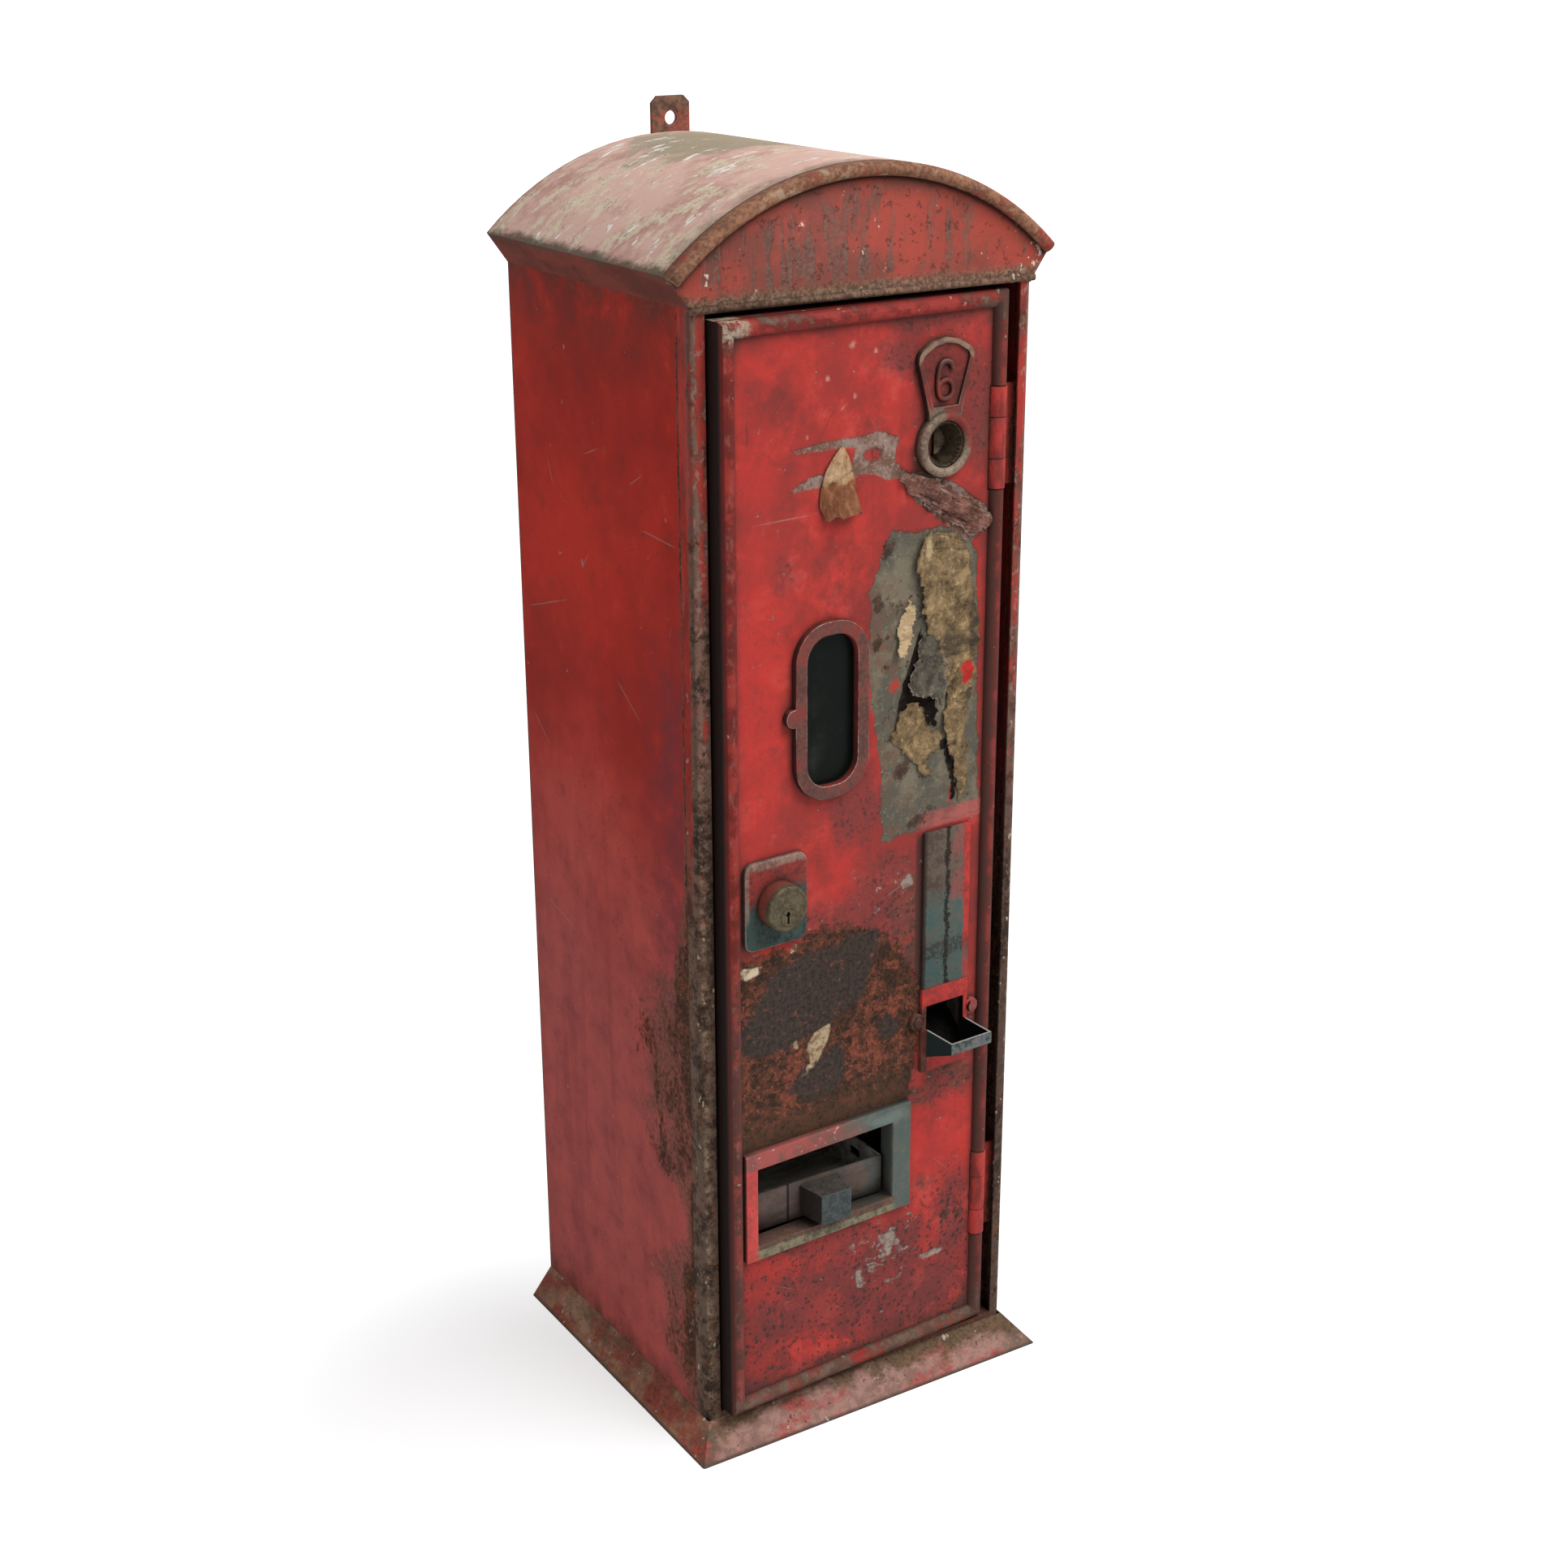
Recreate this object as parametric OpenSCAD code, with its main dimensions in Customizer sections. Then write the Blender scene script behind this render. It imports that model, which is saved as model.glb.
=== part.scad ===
// Coin-operated cigarette dispenser. A sheet-steel cabinet with a barrel roof and
// a flared skirt carries a hinged door, a packet magazine and a drawer under it.
// The door stands slightly ajar. Front is -Y, the floor is z = 0, x = 0 is the
// middle of the cabinet. All sizes are in millimetres.

/* [Cabinet] */
// Width across the side panels
body_w = 228; // [222:1:250]
// Depth from the front stiles to the back panel
body_d = 216; // [200:1:260]
// Height of the wall under the eaves
body_h = 709; // [700:1:760]
// Thickness of the wall, door and roof sheet
sheet = 1.2; // [0.8:0.1:1.6]
// Outer radius of the two front corners
corner_r = 6; // [4:0.5:7]
// Width of each front stile
stile_w = 9; // [8:0.5:10]
// Depth of the stile's leg along the side
stile_leg = 14; // [12:1:20]
// Thickness of the floor plate
floor_t = 1.5; // [1:0.1:3]

/* [Skirt] */
// Height of the flared skirt
skirt_h = 19; // [14:0.5:21]
// Flare of the skirt at the sides
skirt_side = 15; // [8:0.5:20]
// Flare of the skirt at the front
skirt_front = 19; // [10:0.5:24]
// Thickness of the skirt sheet
skirt_t = 1.6; // [1:0.1:2.5]

/* [Roof] */
// Overhang of each eave
eave_out = 13; // [8:0.5:18]
// Height of the sloping eave
eave_h = 18; // [12:0.5:24]
// Rise of the barrel roof above the eave tips
roof_rise = 52; // [40:1:64]
// Radius of the half-round rim on the roof's front edge
rim_r = 4; // [3:0.25:5]
// Depth of the rim's tail over the front gable
rim_tail = 6; // [4:0.5:9]
// Radial thickness of the rim's tail
rim_tail_t = 5; // [3:0.25:5.5]
// Radius of the rolled lip along the foot of the gable
lip_r = 2.2; // [1.5:0.1:3]
// Height of the gable panel's straight foot below the eaves
gable_foot = 3; // [2:0.5:4]

/* [Hanging strap] */
// Width of the strap
strap_w = 26; // [20:1:40]
// Thickness of the strap
strap_t = 3; // [2:0.25:5]
// Height of the strap above the roof
strap_up = 21; // [18:0.5:30]
// Length of the strap below the top of the roof
strap_down = 88; // [70:1:140]
// Corner chamfer of the strap
strap_cut = 4; // [1:0.5:7]
// Radius of the hanging hole
hang_r = 4.2; // [2.5:0.1:5]
// Height of the hanging hole above the roof
hang_up = 8; // [6.5:0.5:10]
// Radius of a strap rivet's shank
rivet_r = 2.5; // [1.5:0.1:3.5]
// Radius of a strap rivet's head
rivet_head_r = 5; // [4:0.25:7]
// Thickness of a strap rivet's head
rivet_head_t = 1.6; // [1:0.1:2.5]
// Distance between the two strap rivets
rivet_pitch = 36; // [20:1:44]

/* [Door] */
// Angle at which the door stands ajar
door_ajar = 3; // [2:0.25:4]
// Gap between door and stile on the lock side
door_gap_lock = 2; // [1.5:0.1:4]
// Gap between door and stile on the hinge side
door_gap_hinge = 8; // [7:0.25:10]
// Gap between door and sill, and between door and gable
door_gap_z = 1.5; // [1:0.1:3]
// Height of the sill rail's top above the floor
sill_h = 22.5; // [22:0.5:26]
// Setback of the door panel behind the front of the stiles
panel_set = 2; // [1.5:0.1:3]
// Radius of the half-round bead round the door
bead_r = 5; // [3.5:0.25:5]
// Depth of the stiffening bars behind the door panel
bar_d = 9.8; // [6:0.2:10]
// Thickness of the stiffening bars
bar_t = 1.5; // [1:0.1:2]

/* [Hinges] */
// Length of each hinge
hinge_len = 60; // [50:1:80]
// Length of the middle knuckle
knuckle_len = 24; // [16:1:30]
// Radius of the hinge barrel
barrel_r = 5.5; // [4.5:0.1:5.8]
// Radius of the hinge pin
hinge_pin_r = 2.5; // [1.5:0.1:3]
// Thickness of a hinge leaf
leaf_t = 1.5; // [1:0.1:2]
// Reach of the door leaf behind the panel
door_leaf_w = 14; // [10:0.5:15]
// Reach of the fixed leaf along the side of the cabinet
fixed_leaf_d = 13; // [9:0.5:13]
// Middle of the upper hinge below the top of the door
hinge_drop = 85.5; // [60:0.5:110]
// Middle of the lower hinge above the bottom of the door
hinge_lift = 94.5; // [50:0.5:110]

/* [Lock] */
// Lock's distance from the door's free edge
lock_inset = 34.5; // [31:0.5:38]
// Height of the lock above the bottom of the door
lock_rise = 340; // [320:1:350]
// Width of the lock plate
lock_plate_w = 44; // [38:1:48]
// Height of the lock plate
lock_plate_h = 55; // [42:1:64]
// Thickness of the lock plate
lock_plate_t = 3.5; // [2:0.25:5]
// Radius of the lock's round collar
lock_r = 14; // [13.5:0.25:16]
// Projection of the collar from the lock plate
lock_out = 12.5; // [8:0.5:16]
// Edge round of the collar
lock_edge = 1.5; // [1:0.25:2]
// Width of the raised rim round the collar's face
lock_rim = 2.2; // [1.5:0.1:2.5]
// Depth of the collar's face inside its rim
lock_sink = 0.6; // [0.3:0.1:1]
// Radius of the lock's shank through the door
shank_r = 12; // [11.75:0.25:12.75]
// Radius of the turning plug
plug_r = 5.2; // [4.5:0.1:5.5]
// Distance of the plug's axis below the collar's middle
plug_drop = 5.5; // [4:0.25:5.75]
// Distance that the cam reaches past the door's edge
cam_reach = 7; // [5.5:0.25:7.5]
// Width of the cam
cam_w = 12; // [8:0.5:14]
// Thickness of the cam
cam_t = 2; // [1.5:0.1:2.5]
// Depth of the keeper hook in from the cabinet side
keeper_in = 7.3; // [6.5:0.1:8]
// Height of the keeper
keeper_h = 30; // [20:1:50]

/* [Window] */
// Window's distance from the door's free edge
window_inset = 74.3; // [72:0.5:78]
// Height of the window's middle above the bottom of the door
window_rise = 450; // [445:1:470]
// Width of the window opening
window_w = 36.2; // [28:0.2:40]
// Height of the window opening
window_h = 91; // [70:1:100]
// Corner radius of the window opening
window_r = 15; // [6:0.5:17]
// Width of the raised window frame's band
window_band = 8; // [5:0.25:9]
// Thickness of the window frame
window_t = 4.5; // [3:0.25:6]
// Radius of the lug on the frame's side
lug_r = 5.5; // [4:0.25:7]
// Overlap of the glass behind the opening
glass_lap = 5; // [3:0.25:6]
// Thickness of the glass
glass_t = 2; // [1.5:0.1:3]
// Thickness of the glass retainer's back
retainer_t = 1.2; // [0.8:0.1:2]

/* [Coin entry] */
// Coin entry's distance from the door's hinge edge
coin_inset = 46.4; // [44:0.2:50]
// Coin entry's distance below the top of the door
coin_drop = 84; // [82:0.5:92]
// Outer radius of the coin ring
ring_r = 19; // [18:0.25:20]
// Radius of the hole in the coin ring
ring_hole_r = 13.5; // [12.5:0.1:14]
// Thickness of the casting
cast_t = 4; // [3:0.25:5]
// Height of the shield above the middle of the ring
shield_up = 61; // [56:0.5:64]
// Width of the shield at its shoulders
shield_w = 40; // [34:0.5:46]
// Width of the shield's foot
shield_foot = 24; // [18:0.5:28]
// Width of the shield's raised border
shield_rim = 3; // [2:0.25:4]
// Depth of the shield's sunk field
shield_sink = 1.5; // [0.5:0.25:2.5]
// Wall of the coin cup
cup_wall = 1.2; // [0.8:0.1:1.6]
// Depth of the coin cup behind the door panel
cup_depth = 8.8; // [7:0.2:12]
// Diameter of the coin
coin_d = 19.4; // [17:0.1:20]
// Thickness of the coin slot
slot_t = 3.2; // [2:0.1:4]
// Width of the flap behind the coin slot
flap_w = 11; // [8:0.5:14]
// Thickness of the flap
flap_t = 1; // [0.8:0.1:1.5]
// Radius of the flap's pin
flap_pin_r = 1; // [0.8:0.05:1.3]

/* [Coin chute and return] */
// Scoop's distance from the door's hinge edge
scoop_inset = 37; // [36:0.25:39]
// Height of the scoop's rim above the bottom of the door
scoop_rise = 226; // [215:1:240]
// Inner width of the scoop
scoop_w = 29; // [24:0.5:31]
// Projection of the scoop from its plate
scoop_out = 27; // [18:0.5:32]
// Height of the scoop at the plate
scoop_h = 18; // [12:0.5:22]
// Height of the scoop's front lip
scoop_lip = 6; // [4:0.25:9]
// Wall of the scoop
scoop_wall = 1.5; // [1:0.1:2]
// Clear height of the opening above the scoop's rim
scoop_mouth = 15; // [10:0.5:18]
// Width of the scoop's plate
scoop_plate_w = 36; // [35:0.5:38]
// Margin of the scoop's plate above and below the opening
scoop_margin = 12; // [8:0.5:16]
// Thickness of the scoop's plate
scoop_plate_t = 3; // [2:0.25:4]
// Radius of the scoop's ears
ear_r = 5.5; // [4.5:0.25:5.75]
// Distance between the two ear screws
ear_pitch = 42; // [38:0.5:42]
// Radius of an ear screw's shank
ear_screw_r = 1.8; // [1.2:0.1:2.5]
// Height of the cover strip above the scoop's plate
cover_h = 104; // [60:1:110]
// Thickness of the cover strip
cover_t = 3; // [2:0.25:4]
// Width of the chute behind the door
chute_w = 46; // [44:0.5:50]
// Depth of the chute behind the door
chute_d = 28; // [24:0.5:32]
// Rise of the coin ramp from the opening to the back of the chute
ramp_rise = 24; // [12:0.5:30]
// Width of the exit for accepted coins in the chute's back
exit_w = 30; // [24:0.5:34]
// Height of that exit
exit_h = 34; // [28:0.5:44]
// Thickness of the gate that hangs over the exit
gate_t = 1; // [0.8:0.1:1.5]
// Radius of the gate's pin
gate_pin_r = 1.2; // [0.8:0.05:1.5]

/* [Drawer] */
// Left edge of the drawer opening from the door's free edge
mouth_inset = 19; // [19:0.25:22]
// Bottom of the drawer opening above the bottom of the door
mouth_rise = 116; // [112:0.5:120]
// Width of the drawer opening
mouth_w = 103; // [98:0.5:106]
// Height of the drawer opening
mouth_h = 53; // [40:0.5:56]
// Band of the bezel on the free-edge side
bezel_left = 8.5; // [5:0.25:8.75]
// Band of the bezel on the hinge side
bezel_right = 14; // [8:0.25:15]
// Band of the bezel over the opening
bezel_top = 11; // [7:0.25:13]
// Band of the bezel under the opening
bezel_bottom = 9.5; // [7:0.25:12]
// Thickness of the bezel in front of the door panel
bezel_t = 5; // [3:0.25:6]
// Depth of the bezel's lining behind the door panel's front
lining_d = 8; // [4:0.25:9]
// Thickness of the bezel's lining
lining_t = 1.2; // [0.8:0.1:2]
// Side clearance of the drawer in its opening
drawer_side = 2.5; // [2:0.1:4]
// Height of the drawer's floor above the bottom of its opening
drawer_lift = 1.5; // [1:0.1:3]
// Height of the drawer's front and sides
drawer_h = 25.5; // [23:0.5:32]
// Inner length of the drawer
drawer_d = 102; // [96:1:120]
// Thickness of the drawer's sheet
drawer_t = 1.2; // [0.8:0.1:1.6]
// Thickness of the drawer's front plate
drawer_front_t = 1.5; // [1:0.1:2.5]
// Travel of the drawer
drawer_travel = 65; // [50:1:66]
// Length of the drawer's knob
knob_out = 20; // [14:0.5:26]
// Width of the knob at its base
knob_base = 29; // [22:0.5:34]
// Width of the knob's end
knob_end = 22; // [14:0.5:26]
// Height of the knob
knob_h = 20; // [14:0.5:22]
// Radius of the knob's screw
knob_screw_r = 2; // [1.5:0.1:3]

/* [Magazine] */
// Inner width of the packet column
pack_w = 78; // [74:0.5:84]
// Inner depth of the packet column
pack_d = 50; // [46:0.5:56]
// Width of the slot in the front of the column
pack_slot = 40; // [30:0.5:50]
// Setback of the column behind the front of the stiles
pack_set = 24; // [23:0.5:28]
// Gap between the drawer's sides and the column
pack_gap = 5; // [4:0.5:8]
// Gap between the column and the eaves line
pack_top = 19; // [12:1:40]
// Height of the follower weight
follower_h = 28; // [20:0.5:40]
// Radius of the follower's guide rod
rod_r = 2.5; // [2:0.1:3]
// Travel of the follower
follower_travel = 400; // [300:5:405]
// Height of a cross rail
rail_h = 25; // [20:1:32]
// Depth of a cross rail
rail_d = 15; // [10:1:24]
// Thickness of a cross rail
rail_t = 1.5; // [1:0.1:2.5]
// Upper rail's distance below the top of the column
rail_drop = 60; // [40:1:90]
// Lower rail's distance above the foot of the column
rail_lift = 28; // [20:1:60]

/* [Shelf and cash box] */
// Thickness of the drawer's shelf
shelf_t = 1.5; // [1:0.1:2.5]
// Setback of the shelf behind the front of the stiles
shelf_set = 20; // [18:0.5:23]
// Depth of the shelf
shelf_d = 104; // [100:1:130]
// Height of the shelf's end flanges
shelf_flange = 18; // [12:1:26]
// Width of the hole through which coins drop into the cash box
coin_drop_w = 36; // [28:1:38]
// Thickness of a drawer guide
guide_t = 2; // [1:0.1:3]
// Height of a drawer guide
guide_h = 10; // [6:0.5:11]
// Radius of the pawl's pivot pin
pawl_pin_r = 2.5; // [2:0.1:3]
// Setback of the pawl's pin behind the front of the stiles
pawl_set = 44; // [42:0.5:46]
// Thickness of the pawl's arms
pawl_t = 3; // [2:0.25:4]
// Width of the pawl's nose
pawl_nose = 4.8; // [4:0.2:6]
// Swing of the pawl into the drawer's side
pawl_swing = 18; // [17:0.5:20]
// Width of the cash box
cash_w = 80; // [60:1:84]
// Depth of the cash box
cash_d = 126; // [90:1:140]
// Height of the cash box
cash_h = 112; // [80:1:114]
// Wall of the cash box
cash_wall = 1; // [0.8:0.1:1.6]

/* [Hidden] */
$fn = 64;

// Clearances: running gap between moving pieces, pin in its bore, piece in its hole
run_gap = 0.3;
pin_gap = 0.05;
hole_gap = 0.2;
// Overcut that carries a cut clear through its wall
over = 1;

// Cabinet
front = -body_d / 2;
back = body_d / 2;
half_w = body_w / 2;
inner_x = half_w - sheet;
mouth_x = half_w - stile_w;
tip_x = half_w + eave_out;
tip_z = body_h + eave_h;
apex_z = tip_z + roof_rise;
roof_r = (tip_x * tip_x + roof_rise * roof_rise) / (2 * roof_rise);
roof_z = apex_z - roof_r;
roof_half = asin(tip_x / roof_r);
gable_z = body_h - gable_foot;
eave_v = sheet * sqrt(1 + pow(eave_h / eave_out, 2));

// Door outline and hinge axis, with the door closed
door_l = -mouth_x + door_gap_lock;
door_r = mouth_x - door_gap_hinge;
door_z = sill_h + door_gap_z;
door_top = gable_z - door_gap_z * 2;
panel_y = front + panel_set;
panel_back = panel_y + sheet;
hinge_x = door_r - bead_r;
hinge_y = panel_y;
upper_hinge_z = door_top - hinge_drop;
lower_hinge_z = door_z + hinge_lift;
notch_gap = 0.6;
notch_x = hinge_x - barrel_r - 0.5;
bead_in_l = door_l + 2 * bead_r;

// Lock
lock_x = door_l + lock_inset;
lock_z = door_z + lock_rise;
plug_z = lock_z - plug_drop;
lock_plate_y = panel_y - lock_plate_t;
lock_face_y = lock_plate_y - lock_out;
nut_t = 4;
shank_end = panel_back + nut_t + 4;
keeper_t = 1.5;
keeper_y = panel_back + bar_d - 1.3;
cam_y = keeper_y + keeper_t + 0.8;
cam_len = lock_x - door_l + cam_reach;
tail_r = plug_r - 2.2;

// Window
window_x = door_l + window_inset;
window_z = door_z + window_rise;

// Coin entry
coin_x = door_r - coin_inset;
coin_z = door_top - coin_drop;
cast_y = panel_y - cast_t;
cup_r = ring_hole_r - hole_gap;
cup_back = panel_back + cup_depth;
cup_flange_r = ring_hole_r + 2.5;
back_plate_t = 1.4;
slot_h = coin_d + 1.2;
slot_z = coin_z - 1;
flap_pin_z = slot_z + slot_h / 2 + flap_pin_r + 2.4;
flap_knuckle_r = flap_pin_r + 1.1;
flap_y = cup_back + run_gap + flap_knuckle_r;
flap_len = flap_pin_z - slot_z + slot_h / 2 + 1.5;
lug_t = 1.4;

// Coin chute and return
scoop_x = door_r - scoop_inset;
scoop_z = door_z + scoop_rise;
scoop_plate_y = panel_y - scoop_plate_t;
mouth_z0 = scoop_z - scoop_h;
mouth_z1 = scoop_z + scoop_mouth;
scoop_plate_z = mouth_z0 - scoop_margin;
scoop_plate_top = mouth_z1 + scoop_margin;
ear_z = scoop_z + 6;
chute_mid = scoop_x - 3;
chute_back = panel_back + chute_d;
chute_top = coin_z + cup_flange_r + 8;
chute_foot = mouth_z0 - 6;
exit_z = scoop_plate_top + 16;
gate_pin_z = exit_z + exit_h + gate_pin_r + 1.6;
gate_knuckle_r = gate_pin_r + 1.1;
gate_y = chute_back + run_gap + gate_knuckle_r;
gate_len = gate_pin_z - exit_z + 2;

// Drawer
drawer_mouth_x = door_l + mouth_inset;
drawer_mouth_z = door_z + mouth_rise;
drawer_x = drawer_mouth_x + mouth_w / 2;
drawer_w = mouth_w - 2 * drawer_side;
drawer_z = drawer_mouth_z + drawer_lift;
drawer_y = panel_y + drawer_front_t;
knob_x = drawer_x + 2;
knob_z = drawer_z + drawer_h / 2;

// Magazine
pack_out_w = pack_w + 2 * sheet;
pack_y = front + pack_set;
pack_back = pack_y + pack_d + 2 * sheet;
pack_z = drawer_z + drawer_h + pack_gap;
pack_top_z = body_h - pack_top;
follower_z = pack_z + 2;
follower_gap = 1;
rod_z = follower_z + follower_h / 2;
rod_y = pack_y + sheet + pack_d / 2;
rod_over = 4.5;
lower_rail_z = pack_z + rail_lift;
upper_rail_z = pack_top_z - rail_drop;

// Shelf, pawl and cash box
shelf_z = drawer_z - run_gap - shelf_t;
shelf_y = front + shelf_set;
drawer_r = drawer_x + drawer_w / 2;
pawl_x = drawer_r + 16.5;
pawl_y = front + pawl_set;
pawl_z = drawer_z + 13.5;
pawl_len = 22;
pawl_rest = 233.7;
pawl_hub_r = pawl_pin_r + 3;
trip_len = 28;
trip_r = 7;
window_y = pawl_y + pawl_len * sin(pawl_rest - pawl_swing) - 0.35;
pawl_window = pawl_nose + 6.6;
cash_r = inner_x - 8;
cash_y = front + 24;

// Places a piece of the closed door where the ajar door holds it
module on_door() {
    translate([hinge_x, hinge_y, 0])
        rotate([0, 0, door_ajar])
            translate([-hinge_x, -hinge_y, 0])
                children();
}

// Extrudes an outline drawn in x and z from y1 forward to y0
module upright(y0, y1) {
    translate([0, y1, 0])
        rotate([90, 0, 0])
            linear_extrude(y1 - y0)
                children();
}

// Extrudes an outline drawn in y and z from x0 to x1
module across(x0, x1) {
    translate([x0, 0, 0])
        rotate([90, 0, 90])
            linear_extrude(x1 - x0)
                children();
}

// Round bar along y
module rod_y_axis(x, z, r, y0, y1) {
    translate([x, y1, z])
        rotate([90, 0, 0])
            cylinder(r = r, h = y1 - y0);
}

// Round bar along x
module rod_x_axis(y, z, r, x0, x1) {
    translate([x0, y, z])
        rotate([0, 90, 0])
            cylinder(r = r, h = x1 - x0);
}

// Box between two corners
module block(x0, x1, y0, y1, z0, z1) {
    translate([x0, y0, z0])
        cube([x1 - x0, y1 - y0, z1 - z0]);
}

// Rectangle with round corners about its middle
module round_rect(w, h, r) {
    square([w - 2 * r, h], center = true);
    square([w, h - 2 * r], center = true);
    for (sx = [-1, 1], sz = [-1, 1])
        translate([sx * (w / 2 - r), sz * (h / 2 - r)])
            circle(r);
}

// Cabinet shell

// Distance of the floor plate's edge in from the foot of a skirt strip
function skirt_inset(out) =
    skirt_t * sqrt(1 + pow(out / skirt_h, 2)) + floor_t * out / skirt_h + run_gap;

module floor_plate() {
    half = half_w + skirt_side - skirt_inset(skirt_side);
    color("dimgray")
        block(-half, half, front - skirt_front + skirt_inset(skirt_front), back - sheet,
            0, floor_t);
}

// Section of the flared skirt: distance from the wall, height
function skirt_section(out) =
    let (across_t = skirt_t * sqrt(1 + pow(out / skirt_h, 2)))
    [[out, 0], [0, skirt_h], [0, skirt_h * (1 - across_t / out)], [out - across_t, 0]];

module skirt_front_strip() {
    color("firebrick")
        intersection() {
            across(-half_w - skirt_side, half_w + skirt_side)
                polygon([for (p = skirt_section(skirt_front)) [front - p[0], p[1]]]);
            linear_extrude(skirt_h)
                polygon([[-half_w, front], [half_w, front],
                    [half_w + skirt_side, front - skirt_front],
                    [-half_w - skirt_side, front - skirt_front]]);
        }
}

module skirt_side_strip(side) {
    color("indianred")
        intersection() {
            upright(front - skirt_front, back)
                polygon([for (p = skirt_section(skirt_side)) [side * (half_w + p[0]), p[1]]]);
            linear_extrude(skirt_h)
                polygon([[side * half_w, back], [side * half_w, front],
                    [side * (half_w + skirt_side), front - skirt_front],
                    [side * (half_w + skirt_side), back]]);
        }
}

module front_sill() {
    color("maroon") {
        block(-mouth_x, mouth_x, front, front + sheet, floor_t, sill_h);
        block(-mouth_x, mouth_x, front + sheet, front + stile_leg, sill_h - sheet, sill_h);
    }
}

module side_panel(side) {
    color("firebrick")
        block(side > 0 ? inner_x : -half_w, side > 0 ? half_w : -inner_x,
            front + stile_leg, back - sheet, floor_t, body_h + eave_v);
}

// Front corner of the cabinet: a rounded angle of sheet, its leg running on up to the eave
module front_stile(side) {
    leg_y = front + lip_r + pin_gap;
    color("maroon")
        union() {
            translate([0, 0, floor_t])
                linear_extrude(gable_z - floor_t)
                    mirror([side > 0 ? 0 : 1, 0])
                        difference() {
                            union() {
                                translate([mouth_x, front])
                                    square([stile_w - corner_r, sheet]);
                                translate([half_w - corner_r, front + corner_r])
                                    intersection() {
                                        circle(corner_r);
                                        translate([0, -corner_r])
                                            square(corner_r);
                                    }
                                translate([inner_x, front + corner_r])
                                    square([sheet, stile_leg - corner_r]);
                            }
                            translate([half_w - corner_r, front + corner_r])
                                circle(corner_r - sheet);
                        }
            block(side > 0 ? inner_x : -half_w, side > 0 ? half_w : -inner_x,
                leg_y, front + stile_leg, gable_z - over, body_h);
        }
}

// Outline of the cabinet's top seen from the front, out to the roof's outer face
module roof_outline(r) {
    intersection() {
        translate([0, roof_z])
            circle(r, $fn = 128);
        translate([-tip_x, tip_z])
            square([2 * tip_x, roof_rise + over]);
    }
}

module back_panel() {
    color("sienna")
        difference() {
            upright(back - sheet, back)
                union() {
                    polygon([[-half_w, 0], [half_w, 0], [half_w, body_h], [tip_x, tip_z],
                        [-tip_x, tip_z], [-half_w, body_h]]);
                    roof_outline(roof_r);
                }
            strap_rivet_shanks(pin_gap);
        }
}

// Section of one sloping eave, lapped a little way into the barrel's edge
module eave(side) {
    polygon([[side * tip_x, tip_z], [side * half_w, body_h], [side * half_w, body_h + eave_v],
        [side * (tip_x - sheet * 1.2), tip_z + sheet / 3]]);
}

// Barrel with its two eaves; the eaves run on to the gable under the rim's tail
module roof_vault() {
    color("rosybrown") {
        upright(front + rim_tail, back - sheet)
            union() {
                difference() {
                    roof_outline(roof_r);
                    translate([0, roof_z])
                        circle(roof_r - sheet, $fn = 128);
                }
                eave(-1);
                eave(1);
            }
        for (side = [-1, 1])
            upright(front + sheet, front + rim_tail + over)
                intersection() {
                    eave(side);
                    translate([0, roof_z])
                        circle(roof_r - rim_tail_t - pin_gap, $fn = 128);
                }
    }
}

// Half-round rim with a tail that laps the gable panel's edge
module roof_rim() {
    color("sienna")
        translate([0, front, roof_z])
            rotate([90, 0, 0])
                rotate([0, 0, 90 - roof_half])
                    rotate_extrude(angle = 2 * roof_half, $fn = 128)
                        union() {
                            intersection() {
                                translate([roof_r - rim_r, 0])
                                    circle(rim_r);
                                translate([roof_r - 2 * rim_r, 0])
                                    square([2 * rim_r, rim_r]);
                            }
                            translate([roof_r - rim_tail_t, -rim_tail])
                                square([rim_tail_t, rim_tail]);
                        }
}

module gable_panel() {
    color("firebrick") {
        upright(front, front + sheet)
            intersection() {
                polygon([[-half_w, gable_z], [half_w, gable_z], [half_w, body_h],
                    [tip_x, tip_z], [tip_x, apex_z], [-tip_x, apex_z], [-tip_x, tip_z],
                    [-half_w, body_h]]);
                translate([0, roof_z])
                    circle(roof_r - rim_tail_t - pin_gap, $fn = 128);
            }
        rod_x_axis(front, gable_z + lip_r, lip_r, -half_w, half_w);
    }
}

// Hanging strap behind the roof

module strap_rivet_shanks(gap) {
    for (i = [0, 1])
        rod_y_axis(0, apex_z - strap_down + 16 + i * rivet_pitch, rivet_r + gap,
            back - sheet - over * gap, back + strap_t + over * gap);
}

module hanging_strap() {
    top = apex_z + strap_up;
    low = apex_z - strap_down;
    w = strap_w / 2;
    color("saddlebrown")
        difference() {
            upright(back, back + strap_t)
                polygon([[-w, low], [w, low], [w, top - strap_cut], [w - strap_cut, top],
                    [strap_cut - w, top], [-w, top - strap_cut]]);
            rod_y_axis(0, apex_z + hang_up, hang_r, back - over, back + strap_t + over);
            strap_rivet_shanks(pin_gap);
        }
}

module strap_rivets() {
    color("dimgray") {
        strap_rivet_shanks(0);
        for (i = [0, 1])
            rod_y_axis(0, apex_z - strap_down + 16 + i * rivet_pitch, rivet_head_r,
                back - sheet - rivet_head_t, back - sheet);
    }
}

// Hinges: two knuckles on the cabinet, one on the door, one pin through all three

module barrel(z0, z1, r) {
    translate([hinge_x, hinge_y, z0])
        cylinder(r = r, h = z1 - z0);
}

module hinge_bore(z) {
    barrel(z - hinge_len / 2 - over, z + hinge_len / 2 + over, hinge_pin_r + pin_gap);
}

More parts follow.
